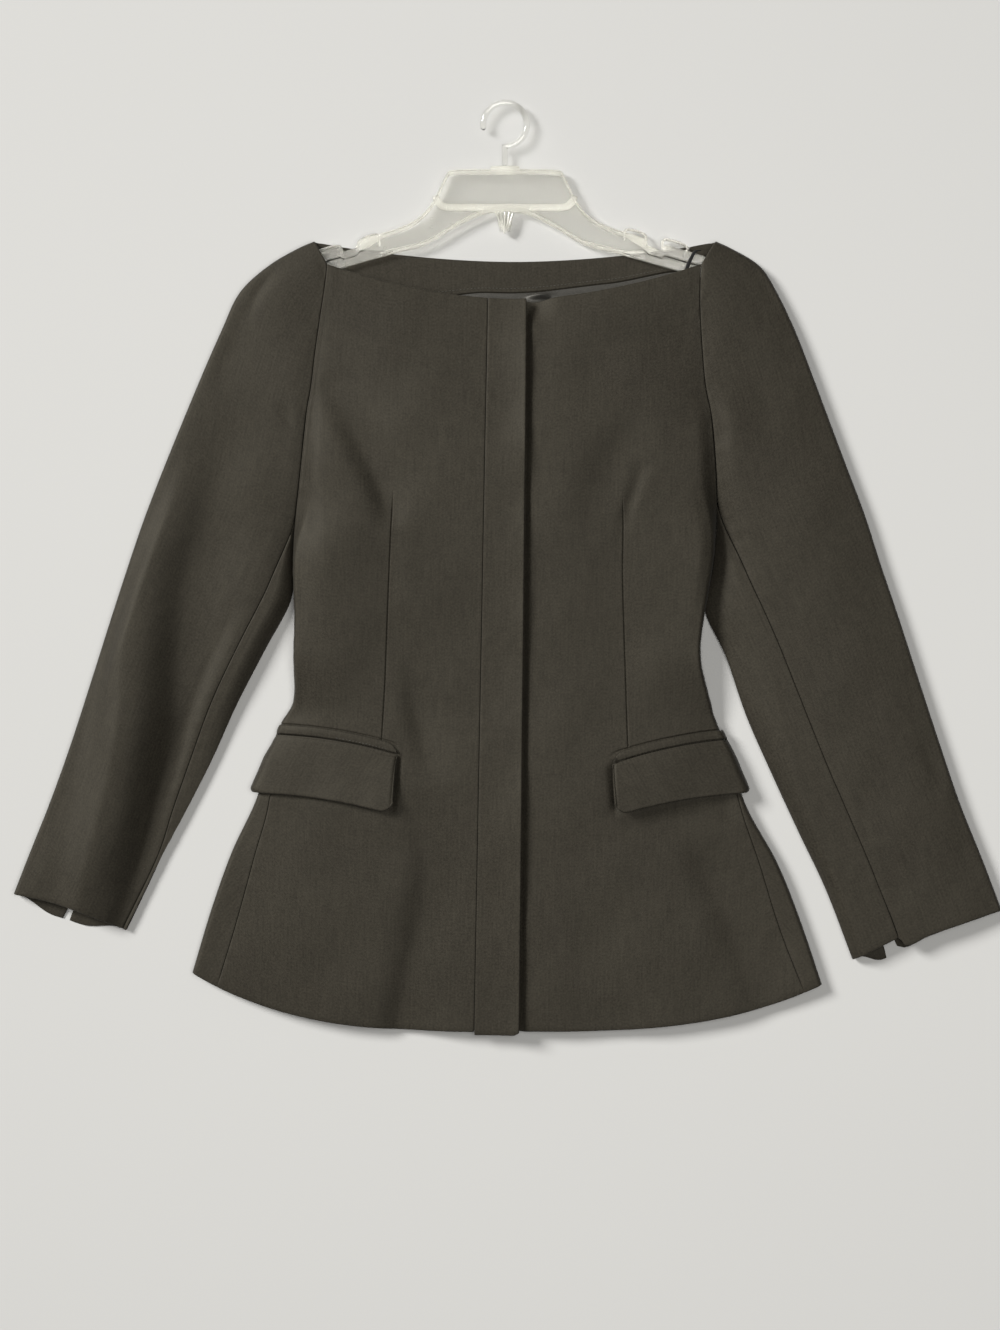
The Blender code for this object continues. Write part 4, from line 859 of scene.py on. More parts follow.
def frontPanel(word):
    name, side, rows = "frontPanel_" + word, pocketCut[word]["side"], frontRows
    seam = side * rows["seamL" if side < 0 else "seamR"]
    sewn = lineAt(placketCut["sewn"], rows["midY"])
    end = shareAt(rows, sewn if side < 0 else sewn + placketCut["underlap"])
    dartX = dartLine(word, rows["midY"])
    for _ in range(2):      # the row bends, so find the dart where the row really passes it
        dartX = dartLine(word, planAt(rows, shareAt(rows, dartX))[1])
    dart = shareAt(rows, dartX)
    offsets, beside = np.array(frontCut["dartOffsets"]), frontCut["dartBeside"]
    first = frontCut["sideColumns"]
    cluster = dart - side * offsets * 2.0 / (rows["rightX"] - rows["leftX"])
    even, middle = np.linspace(0.0, 1.0, first), np.linspace(0.0, 1.0, frontCut["middleColumns"])
    spread = mix(even, 1.0 - np.cos(even * math.pi / 2.0), frontCut["sideBend"])
    outerRun = spreadColumns(rows, seam, dart, spread, (seamGap(rows), beside))
    innerRun = spreadColumns(rows, dart, end, middle, (beside, shell["seamInset"]))
    columns = np.hstack([outerRun, cluster, innerRun])
    grid = easedForm(rows, columns)
    if side > 0:
        sinkUnderPlacket(grid, rows)
    groove = pocketBed(word, rows, columns, grid)
    relief = seamPucker(grid, 0, name) - groove
    dartY = grid[:, first + len(offsets) // 2, 1][:, None]
    depth = frontCut["dartDepth"] * ramp((frontCut["dartTop"][word] - dartY) / frontCut["dartFade"])
    depth = depth * (dartY > frontCut["dartFoot"])
    relief[:, first:first + len(offsets)] -= depth * np.exp(-(offsets / frontCut["dartWidth"]) ** 2)
    if side < 0:
        relief = relief + seamPucker(grid, -1, "placketSeam")
    piece = clothShell(name, grid, crepe, shell["wall"], side > 0, relief, grid.shape[1] - 1)
    finishCloth(piece, "front_" + word)


def placketStrip():
    rows, midY = frontRows, frontRows["midY"]
    sewn = lineAt(placketCut["sewn"], midY) + shell["seamInset"]
    free = lineAt(placketCut["free"], midY) - placketCut["freeInset"]
    share = np.linspace(0.0, 1.0, placketCut["columns"])[None, :]
    grid = sectionAt(rows, shareAt(rows, mix(sewn, free, share)))
    wave = 1.0 + sum(size * np.sin(pace * midY + phase) for size, pace, phase in placketCut["waves"])
    grid[:, :, 2] += placketCut["lift"] * wave * share ** placketCut["liftPower"]
    foot = ramp(1.0 - np.arange(len(midY))[:, None] / placketCut["footRows"])
    start, cut = placketCut["footCorner"]
    corner = cut * np.clip((share - start) / (1.0 - start), 0.0, 1.0) ** 2
    grid[:, :, 1] -= foot * (placketCut["foot"] - corner)
    piece = clothShell("placketStrip", grid, crepe, shell["wall"], False, seamPucker(grid, 0, "placketStrip"))
    finishCloth(piece, "placket")


frontPanel("left")
frontPanel("right")
placketStrip()
print("fronts and placket made")

backCut = {
    "wrapColumns": 26, "flatColumns": 24, "steps": 8, "flat": (0.640, 0.745, 0.3160),
    "gapeRows": (2.5, 1.5), "gapeReach": 0.2,       # near the underarm it turns away below the sleeve
    "lying": 0.004,         # only what lies this low takes the creases of the underside
}


def backPanel():
    steps = backCut["steps"]
    rows = bodyRows(steps)
    part = np.arange(len(rows["midY"]))[:, None] / steps
    before, over = backCut["gapeRows"]
    gape = np.clip((part - (len(bodyCut["rows"]) - before)) / over, 0.0, 1.0)
    wrap = np.linspace(0.0, 1.0, backCut["wrapColumns"])
    inset, turned = (seamGap(rows), 0.0), backCut["gapeReach"] * gape
    right = spreadColumns(rows, rows["seamR"] + gape, 2.0 + turned, wrap, inset)
    left = spreadColumns(rows, 4.0 - turned, 6.0 - rows["seamL"] - gape, wrap, inset[::-1])
    flat = mix(right[:, -1:], left[:, :1], np.linspace(0.0, 1.0, backCut["flatColumns"])[1:-1])
    grid = sectionAt(rows, np.hstack([right, flat, left]))
    top = grid[-1]
    share = ((top[0, 0] - top[:, 0]) / (top[0, 0] - top[-1, 0]))[None, :]
    f = 1.0 - 2.0 * share
    leftHead, rightHead = headRows("left", steps), headRows("right", steps)
    rise = np.arange(len(leftHead["backX"]))[:, None] / (len(leftHead["backX"]) - 1.0)
    middle = mix(rows["midY"][-1, 0], bodyCut["backNeckY"], rise)
    x = mix(rightHead["backX"] - shell["seamInset"], leftHead["backX"] + shell["seamInset"], share)
    ends = np.where(f > 0.0, rightHead["backY"], leftHead["backY"])
    upper = np.stack([x, mix(middle, ends, np.abs(f) ** bodyCut["neckBow"]), np.zeros_like(x)], axis=-1)
    grid = np.vstack([grid, upper[1:]])
    lying = ramp((backCut["lying"] - grid[:, :, 2]) / backCut["lying"])
    grid[:, :, 2] += lying * runHeight(grid[:, :, 0], grid[:, :, 1], undersideRuns)
    piece = clothShell("backPanel", grid, crepe, shell["wall"], False, None, grid.shape[1] // 2)
    finishCloth(piece, "back")


backPanel()
print("back made")

# upper sleeve with its head, under sleeve below the underarm
sleeveMake = {
    "topColumns": 54, "underColumns": 16, "bendColumns": 10, "easeTimes": 10,
    "headFall": 0.006, "leastFall": 0.002, "risePower": 2.2, "seamPower": 4.0,
    "innerFall": {"left": 2.4, "right": 4.0}, "fallFrom": -0.050, "fallOver": 0.120, "edgeRamp": 6.0,
    "closest": 0.0050, "leastRoom": 0.0002, "stopPower": 6.0,       # a trough stops short of the layer below
    "underRamp": 5.0, "dropRamp": 1.4, "foldSlack": 0.0006, "foldPower": 1.4, "foldShare": 0.6,
    "cuffRows": 15, "cuffBow": {"left": 0.0045, "right": 0.0}, "cuffTip": {"left": 0.0, "right": 0.0032},
    "cuffRise": {"left": 0.0, "right": 0.0072}, "riseAt": (0.93, 0.07), "tipAt": (0.86, 0.10),
    "upperDrop": {"left": 1.0, "right": 0.3},
    "armpitRoll": 0.0022, "rollFrom": 0.055, "rollOver": 0.100,         # the fold is lower beside the body
    "tuckRows": 8, "tuckStep": (0.004, 0.016, -0.006), "tuckLow": 0.0022,       # out of sight at the underarm
    "flatUpper": {"left": (0.262, 0.680, 0.1380), "right": (0.268, 0.690, 0.1490)},
    "flatUnder": {"left": (0.125, 0.390, 0.0290), "right": (0.125, 0.430, 0.0390)},
}


def sleeveMarks(word):
    heads = headRows(word, shell["rowSteps"])
    arms = tableRows(sleeveCut["armColumns"], sleeveCut["arms"][word], shell["rowSteps"])
    outer = np.hstack([arms["outerX"], arms["outerY"]])
    inner = np.hstack([arms["innerX"], arms["innerY"]])
    still = np.zeros_like(heads["crown"])
    upward = {name: np.hstack([heads[name + "X"], heads[name + "Y"]]) for name in ("outer", "seam", "back")}
    upward.update(seamZ=heads["seamZ"], crown=heads["crown"], slit=still, drop=still,
                  fall=still + sleeveMake["headFall"])
    downward = {
        "outer": outer, "seam": mix(outer, inner, arms["seamAt"]), "back": mix(outer, inner, arms["backAt"]),
        "seamZ": arms["seamZ"], "crown": arms["crown"], "slit": np.maximum(arms["slit"], 0.0),
        "drop": np.maximum(arms["drop"], 0.0), "fall": np.maximum(arms["fall"], sleeveMake["leastFall"]),
    }
    marks = {name: np.vstack([upward[name][::-1], downward[name][1:]]) for name in upward}
    for values in marks.values():       # eases the turn at the underarm
        easeRows(values, sleeveMake["easeTimes"])
    return marks, inner[1:], len(heads["crown"])


def planStep(start, end):
    run = end - start
    width = np.linalg.norm(run, axis=1, keepdims=True)
    return run / width, width


def quarterTurn(columns):
    return np.linspace(math.pi / 2.0, 0.0, columns)


def tubeTop(outer, seam, seamZ, crown, power, inset):
    way, width = planStep(outer, seam)
    roll, edge, stop = shell["roll"], sleeveMake["edgeRamp"], sleeveMake["stopPower"]
    bend = shell["crisp"] * (1.0 - np.cos(quarterTurn(sleeveMake["bendColumns"]))) / width
    run = mix(1.0 - inset / width, bend[:, :1], np.linspace(0.0, 1.0, sleeveMake["topColumns"])[None, :-1])
    share = np.hstack([run, bend])
    x, y = outer[:, :1] + way[:, :1] * width * share, outer[:, 1:] + way[:, 1:] * width * share
    rise = 1.0 - (1.0 - share) ** sleeveMake["risePower"]
    plateau = 2.0 * roll + (crown - 2.0 * roll) * rise - (crown - seamZ) * share ** power
    soft = creaseHeight(x, y) * ramp(edge * share) * ramp(edge * (1.0 - share))
    room = np.maximum(plateau - sleeveMake["closest"], sleeveMake["leastRoom"])
    push = np.maximum(-soft, 0.0) / room
    soft = np.where(soft < 0.0, -room * push / (1.0 + push ** stop) ** (1.0 / stop), soft)
    return np.stack([x, y, plateau + soft - curlFall(width * share)], axis=-1)


def tubeUnder(edge, end, drop, inset, roll):
    way, width = planStep(edge, end)
    turn = quarterTurn(sleeveMake["bendColumns"])[None, ::-1][:, 1:]
    run = mix(roll, width - inset, np.linspace(0.0, 1.0, sleeveMake["underColumns"])[None, 1:])
    bent = (len(width), turn.shape[1])
    along = np.hstack([np.broadcast_to(roll * (1.0 - np.cos(turn)), bent), run])
    z = np.hstack([np.broadcast_to(roll * (1.0 - np.sin(turn)), bent), np.zeros_like(run)])
    share = np.clip((along - roll) / (width - roll), 0.0, 1.0)
    x, y = edge[:, :1] + way[:, :1] * along, edge[:, 1:] + way[:, 1:] * along
    fade = ramp(sleeveMake["underRamp"] * share) * ramp(sleeveMake["underRamp"] * (1.0 - share))
    z = z + runHeight(x, y, undersideRuns) * fade
    return np.stack([x, y - drop * ramp(sleeveMake["dropRamp"] * share), z], axis=-1)


def underTop(seam, fold, seamZ, fall, inset, roll):
    way, reach = planStep(seam, fold)
    fall = np.minimum(fall, reach - inset - sleeveMake["foldSlack"])        # width of the rounded inner fold
    bend = 1.0 - fall * (1.0 - np.cos(quarterTurn(2 * sleeveMake["bendColumns"]))) / reach
    run = mix(inset / reach, bend[:, :1], np.linspace(0.0, 1.0, sleeveMake["underColumns"])[None, :-1])
    share = np.hstack([run, bend])
    short = np.clip(1.0 - reach * (1.0 - share) / fall, 0.0, 1.0)
    rounded = mix(1.0 - np.sqrt(1.0 - short ** 2), short ** sleeveMake["foldPower"], sleeveMake["foldShare"])
    x, y = seam[:, :1] + way[:, :1] * reach * share, seam[:, 1:] + way[:, 1:] * reach * share
    return np.stack([x, y, seamZ - (seamZ - roll) * rounded], axis=-1)


def cuffLine(word, grid, start, end, under):
    # the hem is no straight line, on the right it rises to the slit with a tip beside it
    way, width = planStep(start[-1:], end[-1:])
    share = np.clip(((grid[-1, :, :2] - start[-1]) @ way[0]) / width[0, 0], 0.0, 1.0)
    rise, last = sleeveMake["cuffRise"][word], sleeveMake["cuffRows"]
    if under:
        line = rise * (1.0 - share)
    else:
        (corner, over), (tip, reach) = sleeveMake["riseAt"], sleeveMake["tipAt"]
        line = sleeveMake["cuffBow"][word] * np.sin(math.pi * share) + rise * ramp((share - corner) / over)
        line = line - sleeveMake["cuffTip"][word] * np.exp(-((share - tip) / reach) ** 2)
    grid[-last:, :, 1] += ramp(np.arange(1, last + 1) / last)[:, None] * line[None, :]


def upperSleeve(word, marks):
    name, inset = "upperSleeve_" + word, shell["seamInset"]
    lower = ramp((sleeveMake["fallFrom"] - marks["seam"][:, 1:]) / sleeveMake["fallOver"])
    power = mix(sleeveMake["seamPower"], sleeveMake["innerFall"][word], lower)
    top = tubeTop(marks["outer"], marks["seam"], marks["seamZ"], marks["crown"], power, inset)
    cuffLine(word, top, marks["outer"], marks["seam"], False)
    drop = marks["drop"] * sleeveMake["upperDrop"][word]
    under = tubeUnder(marks["outer"], marks["back"], drop, inset + marks["slit"], shell["roll"])
    if word == "right":     # its under layer is rounded off at the slit as well
        cuffLine(word, under, marks["outer"], marks["back"], False)
    grid = np.concatenate([top, under], axis=1)
    piece = clothShell(name, grid, crepe, shell["wall"], word == "right", seamPucker(grid, 0, name),
                       sleeveMake["topColumns"] // 2)
    finishCloth(piece, "upper_sleeve_" + word)


def underSleeve(word, marks, fold):
    name, inset = "underSleeve_" + word, shell["seamInset"]
    higher = ramp((sleeveMake["rollFrom"] - fold[:, 1:]) / sleeveMake["rollOver"])
    roll = mix(sleeveMake["armpitRoll"], shell["roll"], higher)
    top = underTop(marks["seam"], fold, marks["seamZ"], marks["fall"], inset, roll)
    cuffLine(word, top, marks["seam"], fold, True)
    under = tubeUnder(fold, marks["back"], marks["drop"], inset + marks["slit"], roll)
    grid = np.concatenate([top, under], axis=1)
    tuck = np.linspace(1.0, 0.0, sleeveMake["tuckRows"], endpoint=False)[:, None, None]
    tucked = grid[:1] + tuck * np.array(sleeveMake["tuckStep"]) * (-pocketCut[word]["side"], 1.0, 1.0)
    tucked[:, :, 2] = np.maximum(tucked[:, :, 2], np.minimum(grid[:1, :, 2], sleeveMake["tuckLow"]))
    grid = np.vstack([tucked, grid])
    piece = clothShell(name, grid, crepe, shell["wall"], word == "left", seamPucker(grid, 0, name))
    finishCloth(piece, "under_sleeve_" + word)


for word in ("left", "right"):
    sleeveRows, innerFold, first = sleeveMarks(word)
    upperSleeve(word, sleeveRows)
    underSleeve(word, {name: values[first:] for name, values in sleeveRows.items()}, innerFold)
print("sleeves made")


def onFront(s, y, lift):
    flatS, flatY = s.ravel(), y.ravel()
    lines = planAt(fineRows, np.clip(flatS, -1.0, 1.0)[None, :])[1]
    place = np.array([np.interp(want, lines[:, k], np.arange(len(lines))) for k, want in enumerate(flatY)])
    rows = rowsAt(place)
    point = sectionAt(rows, flatS[:, None])[:, 0]
    beside = []
    for moved in (flatS + pocketCut["probe"], flatS - pocketCut["probe"]):
        kept = np.where(np.abs(flatS) <= 1.0, np.clip(moved, -1.0, 1.0), moved)
        beside.append(sectionAt(rows, kept[:, None])[:, 0])
    run = beside[0] - beside[1]
    normal = unit(np.stack([-run[:, 2], np.zeros(len(run)), run[:, 0]], axis=-1))
    point[:, 1] = flatY
    return (point + normal * lift.ravel()[:, None]).reshape(*s.shape, 3)


def flapFoot(pocket, share):
    depth = mix(pocket["depthOuter"], pocket["depthInner"], share)
    foot = pocketLine(pocket, share) - depth
    for corner, gone in ((pocketCut["round"], 1.0 - share), (pocketCut["nose"], share)):
        near = np.maximum(0.0, corner - gone * pocketCut["length"])
        foot = foot + corner - np.sqrt(corner ** 2 - near ** 2)
    return foot


def stripColumns(pocket, y, lean):
    lines = planAt(fineRows, np.full((1, 1), 0.5 * pocket["side"]))[1][:, 0]
    row = rowsAt(np.array([np.interp(y, lines, np.arange(len(lines)))]))
    half = 0.5 * float(row["rightX"][0, 0] - row["leftX"][0, 0])
    bend = 1.0 - shell["crisp"] / half * (1.0 - np.cos(quarterTurn(pocketCut["bendColumns"])[::-1]))
    end = pocket["side"] * float(shareAt(row, pocket["innerX"] + pocket["side"] * lean)[0, 0])
    run = mix(bend[-1], end, np.sin(quarterTurn(pocketCut["runColumns"])[::-1])[1:])
    return pocket["side"] * np.concatenate([[pocketCut["start"], pocketCut["tuck"]], bend, run])


def stripGrid(pocket, lines, kicks, inner, wall, overhang):
    size, pace, phase = pocketCut["kickWave"]
    start = pocketCut["innerFrom"]
    s, y, lift = [], [], []
    for line, kick, more, over in zip(lines, kicks, inner, overhang):
        lean = pocket["lean"] * more / pocketCut["innerLift"]
        columns = stripColumns(pocket, float(line(np.array([0.5]))[0]), lean)
        share = (columns[0] - columns) / (columns[0] - columns[-1])
        clear = pocketCut["clear"] + over * (1.0 - ramp(pocketCut["overRamp"] * share))
        kicked = kick * ramp(pocketCut["kickRamp"] * share) * (1.0 + size * np.sin(pace * share + phase))
        s.append(columns)
        y.append(line(share))
        lift.append(clear + kicked + more * ramp((share - start) / (1.0 - start)) + wall)
    return onFront(np.array(s), np.array(y), np.array(lift))


def gapShare(share):
    # welt and flap meet at the side
    return mix(pocketCut["closeFrom"], 1.0, ramp(share / pocketCut["closeOver"]))


def flapLine(pocket, share, part):
    top = pocketLine(pocket, share) - pocketCut["flapGap"] * gapShare(share)
    return mix(top, flapFoot(pocket, share), part)


def weltLine(pocket, share, part):
    low = pocketCut["weltGap"] * gapShare(share)
    return pocketLine(pocket, share) + mix(low, weltRise(pocket, share), part)


def pocketFlap(word):
    pocket, wall, parts = pocketCut[word], pocketCut["flapWall"], np.linspace(0.0, 1.0, pocketCut["flapRows"])
    lines = [lambda share, part=part: flapLine(pocket, share, part) for part in parts]
    over = mix(pocket["weltOver"] - pocketCut["underWelt"], pocketCut["overhang"], ramp(parts / 0.5))
    kicks = pocketCut["kick"] * parts ** pocketCut["kickPower"]
    lifts = pocketCut["innerLift"] * parts ** pocketCut["innerPower"]
    grid = stripGrid(pocket, lines, kicks, lifts, wall, over)
    (swell, stretch), (sink, fade) = pocketCut["flapSwell"], pocketCut["flapSink"]
    relief = swell * np.sin(math.pi * np.clip(parts * stretch, 0.0, 1.0)) - sink * np.exp(-parts / fade)
    inward = pocket["side"] * (grid[:, :, 0] - grid[:, -1:, 0])
    near = np.clip(1.0 - inward / pocketCut["endRoll"], 0.0, 1.0)
    relief = relief[:, None] - pocketCut["endFall"] * (1.0 - np.sqrt(1.0 - pocketCut["endRound"] * near ** 2))
    outward = np.clip(1.0 - (inward[:, :1] - inward) / pocketCut["flareReach"], 0.0, 1.0)
    start = pocketCut["flareFrom"]
    back = pocketCut["flareBack"] * np.clip((parts - start) / (1.0 - start), 0.0, 1.0) ** 2
    grid[:, :, 0] += pocket["side"] * pocketCut["flare"] * (parts ** 2 * (1.0 - back))[:, None] * outward ** 2
    piece = clothShell("pocketFlap_" + word, grid, crepe, wall, word == "left", relief)
    finishCloth(piece, "flap_" + word)


def pocketWelt(word):
    pocket, wall, parts = pocketCut[word], pocketCut["weltWall"], np.linspace(1.0, 0.0, pocketCut["weltRows"])
    lines = [lambda share, part=part: weltLine(pocket, share, part) for part in parts]
    still = np.zeros(len(parts))
    grid = stripGrid(pocket, lines, still, still, wall, still + pocket["weltOver"])
    relief = pocketCut["weltSwell"] * np.sin(math.pi * parts)[:, None] * np.ones(grid.shape[:2])
    piece = clothShell("pocketWelt_" + word, grid, crepe, wall, word == "left", relief)
    finishCloth(piece, "welt_" + word)
    return grid


weltGrids = {}
for word in ("left", "right"):
    pocketFlap(word)
    weltGrids[word] = pocketWelt(word)
print("pockets made")

neckCut = {
    "columns": 150, "rowSteps": 10, "base": 0.0020,
    "slants": [(0.0080, -1.0, 0.016, 0.060), (-0.0046, 1.0, 0.0, 0.100), (-0.00414, 1.0, 0.096, 0.060)],
    "foldBase": 0.5, "folds": [(0.30, 74.0, 40.0, 0.0), (0.20, 163.0, -90.0, 1.3)],
    "ruckFade": (0.010, 0.073, 0.012),
    "pinchAt": (0.0320, 0.0105), "pinchFade": (0.0030, 0.0086, 0.0056),         # a fold beside the placket
    "facing": {"ends": (-0.150, 0.168), "wall": 0.0012, "ruck": 0.0, "pinch": 0.0,
               "flat": (0.330, 0.046, 0.0095),
               "rows": [(0.0010, 0.0), (0.012, 0.0), (0.0278, 0.0)]},
    "lining": {"ends": (-0.148, 0.166), "wall": 0.0010, "ruck": 0.0042, "pinch": 0.0080,
               "flat": (0.330, 0.058, 0.0155),
               "rows": [(0.0296, 0.0), (0.036, 0.002), (0.044, 0.005), (0.056, 0.003), (0.075, 0.0)]},
}


def backEdge(x):
    names, heads = sleeveCut["headColumns"].split(), sleeveCut["heads"]
    left, right = (dict(zip(names, heads[word][-1])) for word in ("left", "right"))
    f = 2.0 * (x - left["backX"]) / (right["backX"] - left["backX"]) - 1.0
    ends = np.where(f < 0.0, left["backY"], right["backY"])
    return mix(bodyCut["backNeckY"], ends, np.minimum(np.abs(f), 1.0) ** bodyCut["neckBow"])


def neckStrip(name, node, cut, material):
    x = np.linspace(*cut["ends"], neckCut["columns"])[None, :]
    fine = smoothRun(cut["rows"], neckCut["rowSteps"])
    drop, height = fine[:, :1], np.maximum(fine[:, 1:], 0.0)
    # the facing is deeper on the left, less deep on the right
    slant = sum(size * ramp((side * x - start) / over) for size, side, start, over in neckCut["slants"])
    seamDrop, lowest = neckCut["facing"]["rows"][-1][0], neckCut["lining"]["rows"][-1][0]
    fade = np.minimum(drop / seamDrop, (lowest - drop) / (lowest - seamDrop))
    drop = drop + slant * np.clip(fade, 0.0, 1.0)
    inside = drop - drop[:1]        # how far below the strip's upper edge
    (middle, reach), (rise, end, fade) = neckCut["pinchAt"], neckCut["pinchFade"]
    pinched = np.exp(-((x - middle) / reach) ** 2) * ramp(inside / rise) * ramp((end - inside) / fade)
    waves = (size * np.sin(a * x + b * drop + phase) for size, a, b, phase in neckCut["folds"])
    folds = neckCut["foldBase"] + sum(waves)
    rise, end, fade = neckCut["ruckFade"]
    ruckled = folds * ramp(inside / rise) * ramp((end - drop) / fade)
    z = neckCut["base"] + cut["wall"] + height + cut["ruck"] * ruckled + cut["pinch"] * pinched
    grid = np.stack([np.broadcast_to(x, z.shape), backEdge(x) - drop, z], axis=-1)
    piece = clothShell(name, grid, material, cut["wall"], True, None, neckCut["columns"] // 2)
    finishCloth(piece, node)
    return grid


facingGrid = neckStrip("neckFacing", "back_facing", neckCut["facing"], crepe)
liningGrid = neckStrip("neckLining", "lining", neckCut["lining"], satin)
print("neck facing and lining made")

hangerCut = {
    "columns": "x upper lower",
    "rows": [(0.000, 0.443, 0.403), (0.022, 0.443, 0.400), (0.050, 0.442, 0.386), (0.056, 0.436, 0.382),
             (0.068, 0.412, 0.375), (0.082, 0.397, 0.369), (0.100, 0.388, 0.365), (0.122, 0.381, 0.359),
             (0.150, 0.372, 0.351), (0.178, 0.364, 0.343), (0.194, 0.358, 0.340), (0.200, 0.352, 0.343)],
    "base": 0.0036, "thick": 0.0060, "web": 0.0016, "rim": 0.0050, "soften": 0.0012, "channel": 0.0007,
    "rimMost": 0.35, "softMost": 0.45, "cornerPoints": 4, "samples": 281, "rowSteps": 6, "sharpTurn": 40.0,
    "solidShare": 0.46, "solidFrom": 0.112, "solidOver": 0.020,     # the arms' ends are nearly solid
    "notches": [(-0.153, -0.139), (0.133, 0.149)], "notchDepth": 0.0062, "notchSlope": 0.004,
    "barEnd": 0.82, "barSquare": 0.6, "webSlack": 0.0002, "webFlat": 0.7,
    "window": [(0.0, 0.4070), (0.040, 0.4070), (0.0560, 0.4075), (0.0625, 0.4115), (0.0655, 0.4180)],
    "boss": [(-0.0135, 0.4425), (-0.007, 0.4425), (0.0, 0.4425), (0.007, 0.4425), (0.0135, 0.4425)],
    "tongue": {"top": 0.4050, "bladeFoot": 0.3845, "ribFoot": 0.3830, "footRise": 0.005, "spread": 0.0098,
               "narrow": 0.62, "power": 0.6, "points": 10, "ribs": (-1.0, -0.5, 0.0, 0.5, 1.0)},
    "tabs": [[(-0.1385, 0.3650), (-0.1365, 0.3755), (-0.1205, 0.3815), (-0.1180, 0.3705)],
             [(0.1120, 0.3760), (0.1145, 0.3862), (0.1312, 0.3815), (0.1330, 0.3715)],
             [(-0.1780, 0.3600), (-0.1750, 0.3660), (-0.1560, 0.3705), (-0.1535, 0.3600)],
             [(0.1482, 0.3660), (0.1502, 0.3768), (0.1705, 0.3705), (0.1690, 0.3610)]],
    "pins": [(-0.056, 0.4300), (0.0545, 0.4310), (-0.069, 0.3965), (-0.069, 0.3885), (-0.0505, 0.3905),
             (-0.1130, 0.3690)],
    "pinRing": 0.0015, "pinLift": 0.0008, "pinPoints": 15, "pinTurn": 6.1,
    # half width, half height and sides of each bar
    "bars": {"windowBar": (0.0036, 0.0026, 16), "hookBoss": (0.0040, 0.0027, 16),
             "tongueBlade": (0.0062, 0.0007, 16), "tongueRib": (0.0009, 0.0024, 10),
             "pinMark": (0.0004, 0.0004, 8), "strapTab": (0.0012, 0.0031, 12)},
    "windowSteps": 5, "tabSteps": 7,
}
hangerLevel = hangerCut["base"] + 0.5 * hangerCut["thick"]


def roundedCorner(centre, radius, start):
    turns = start + np.linspace(0.0, -math.pi / 2.0, hangerCut["cornerPoints"])
    return [(centre[0] + radius * math.cos(t), centre[1] + radius * math.sin(t)) for t in turns]


def rimSide(near, far, level, up, soft, turn):
    # one side of a rim, with a channel along its middle
    points = roundedCorner((near - up * soft, level + up * soft), soft, turn)
    points.append((0.5 * (near + far), level + up * hangerCut["channel"]))
    return points + roundedCorner((far + up * soft, level + up * soft), soft, turn - math.pi / 2.0)


def rimSection(x, upper, lower):
    base, top = hangerCut["base"], hangerCut["base"] + hangerCut["thick"]
    middle, half = 0.5 * (base + top), 0.5 * hangerCut["web"]
    rim = min(hangerCut["rim"], hangerCut["rimMost"] * (upper - lower))
    solid = float(ramp(np.array((abs(x) - hangerCut["solidFrom"]) / hangerCut["solidOver"])))
    rim = mix(rim, hangerCut["solidShare"] * (upper - lower), solid)
    soft = min(hangerCut["soften"], hangerCut["softMost"] * rim)
    points = rimSide(upper, upper - rim, base, 1.0, soft, 0.0)
    points += [(upper - rim, middle - half), (lower + rim, middle - half)]
    points += rimSide(lower + rim, lower, base, 1.0, soft, 0.0)
    points += rimSide(lower, lower + rim, top, -1.0, soft, math.pi)
    points += [(lower + rim, middle + half), (upper - rim, middle + half)]
    return points + rimSide(upper - rim, upper, top, -1.0, soft, math.pi)


def loftPiece(name, sections, material):
    sides = len(sections[0])
    verts = [tuple(np.array(p) + planShift) for section in sections for p in section]
    faces = []
    for i in range(len(sections) - 1):
        for k in range(sides):
            a, b = i * sides + k, i * sides + (k + 1) % sides
            faces.append((a, b, b + sides, a + sides))
    faces.append(tuple(range(sides)))
    faces.append(tuple((len(sections) - 1) * sides + k for k in reversed(range(sides))))
    piece = meshPiece(name, verts, faces, material)
    shape = bmesh.new()
    shape.from_mesh(piece.data)
    bmesh.ops.recalc_face_normals(shape, faces=shape.faces)
    shape.to_mesh(piece.data)
    shape.free()
    return piece


def barSections(path, half, deep, sides):
    # rounded bar along a path that lies level
    path = np.array(path)
    run = unit(np.gradient(path, axis=0))
    across = np.stack([run[:, 1], -run[:, 0], np.zeros(len(run))], axis=-1)
    turns = 2.0 * math.pi * (np.arange(sides) + 0.5) / sides
    c, s = (np.sign(v) * np.abs(v) ** hangerCut["barSquare"] for v in (np.cos(turns), np.sin(turns)))
    end, last = hangerCut["barEnd"], len(path) - 1
    sections = []
    for i, (p, w) in enumerate(zip(path, across)):
        size = np.interp(i, [0, 2, last - 2, last], [end, 1.0, 1.0, end])
        sections.append([p + size * (half * a * w + np.array([0.0, 0.0, deep * b])) for a, b in zip(c, s)])
    return sections


def joinBar(piece, name, points, steps=0, lift=0.0):
    path = [(x, y, hangerLevel + lift) for x, y in points]
    if steps:
        path = smoothRun(path, steps)
    bar = loftPiece(name, barSections(path, *hangerCut["bars"][name]), plastic)
    tool = piece.modifiers.new("join", "BOOLEAN")
    tool.operation = "UNION"
    tool.solver = "EXACT"
    tool.object = bar
    mesh = bpy.data.meshes.new_from_object(piece.evaluated_get(bpy.context.evaluated_depsgraph_get()))
    piece.modifiers.clear()
    piece.data = mesh
    bpy.data.objects.remove(bar, do_unlink=True)


def finishPlastic(piece, node):
    smoothFaces(piece.data)
    piece.data.set_sharp_from_angle(angle=math.radians(hangerCut["sharpTurn"]))
    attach(piece, "root")
    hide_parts(node)
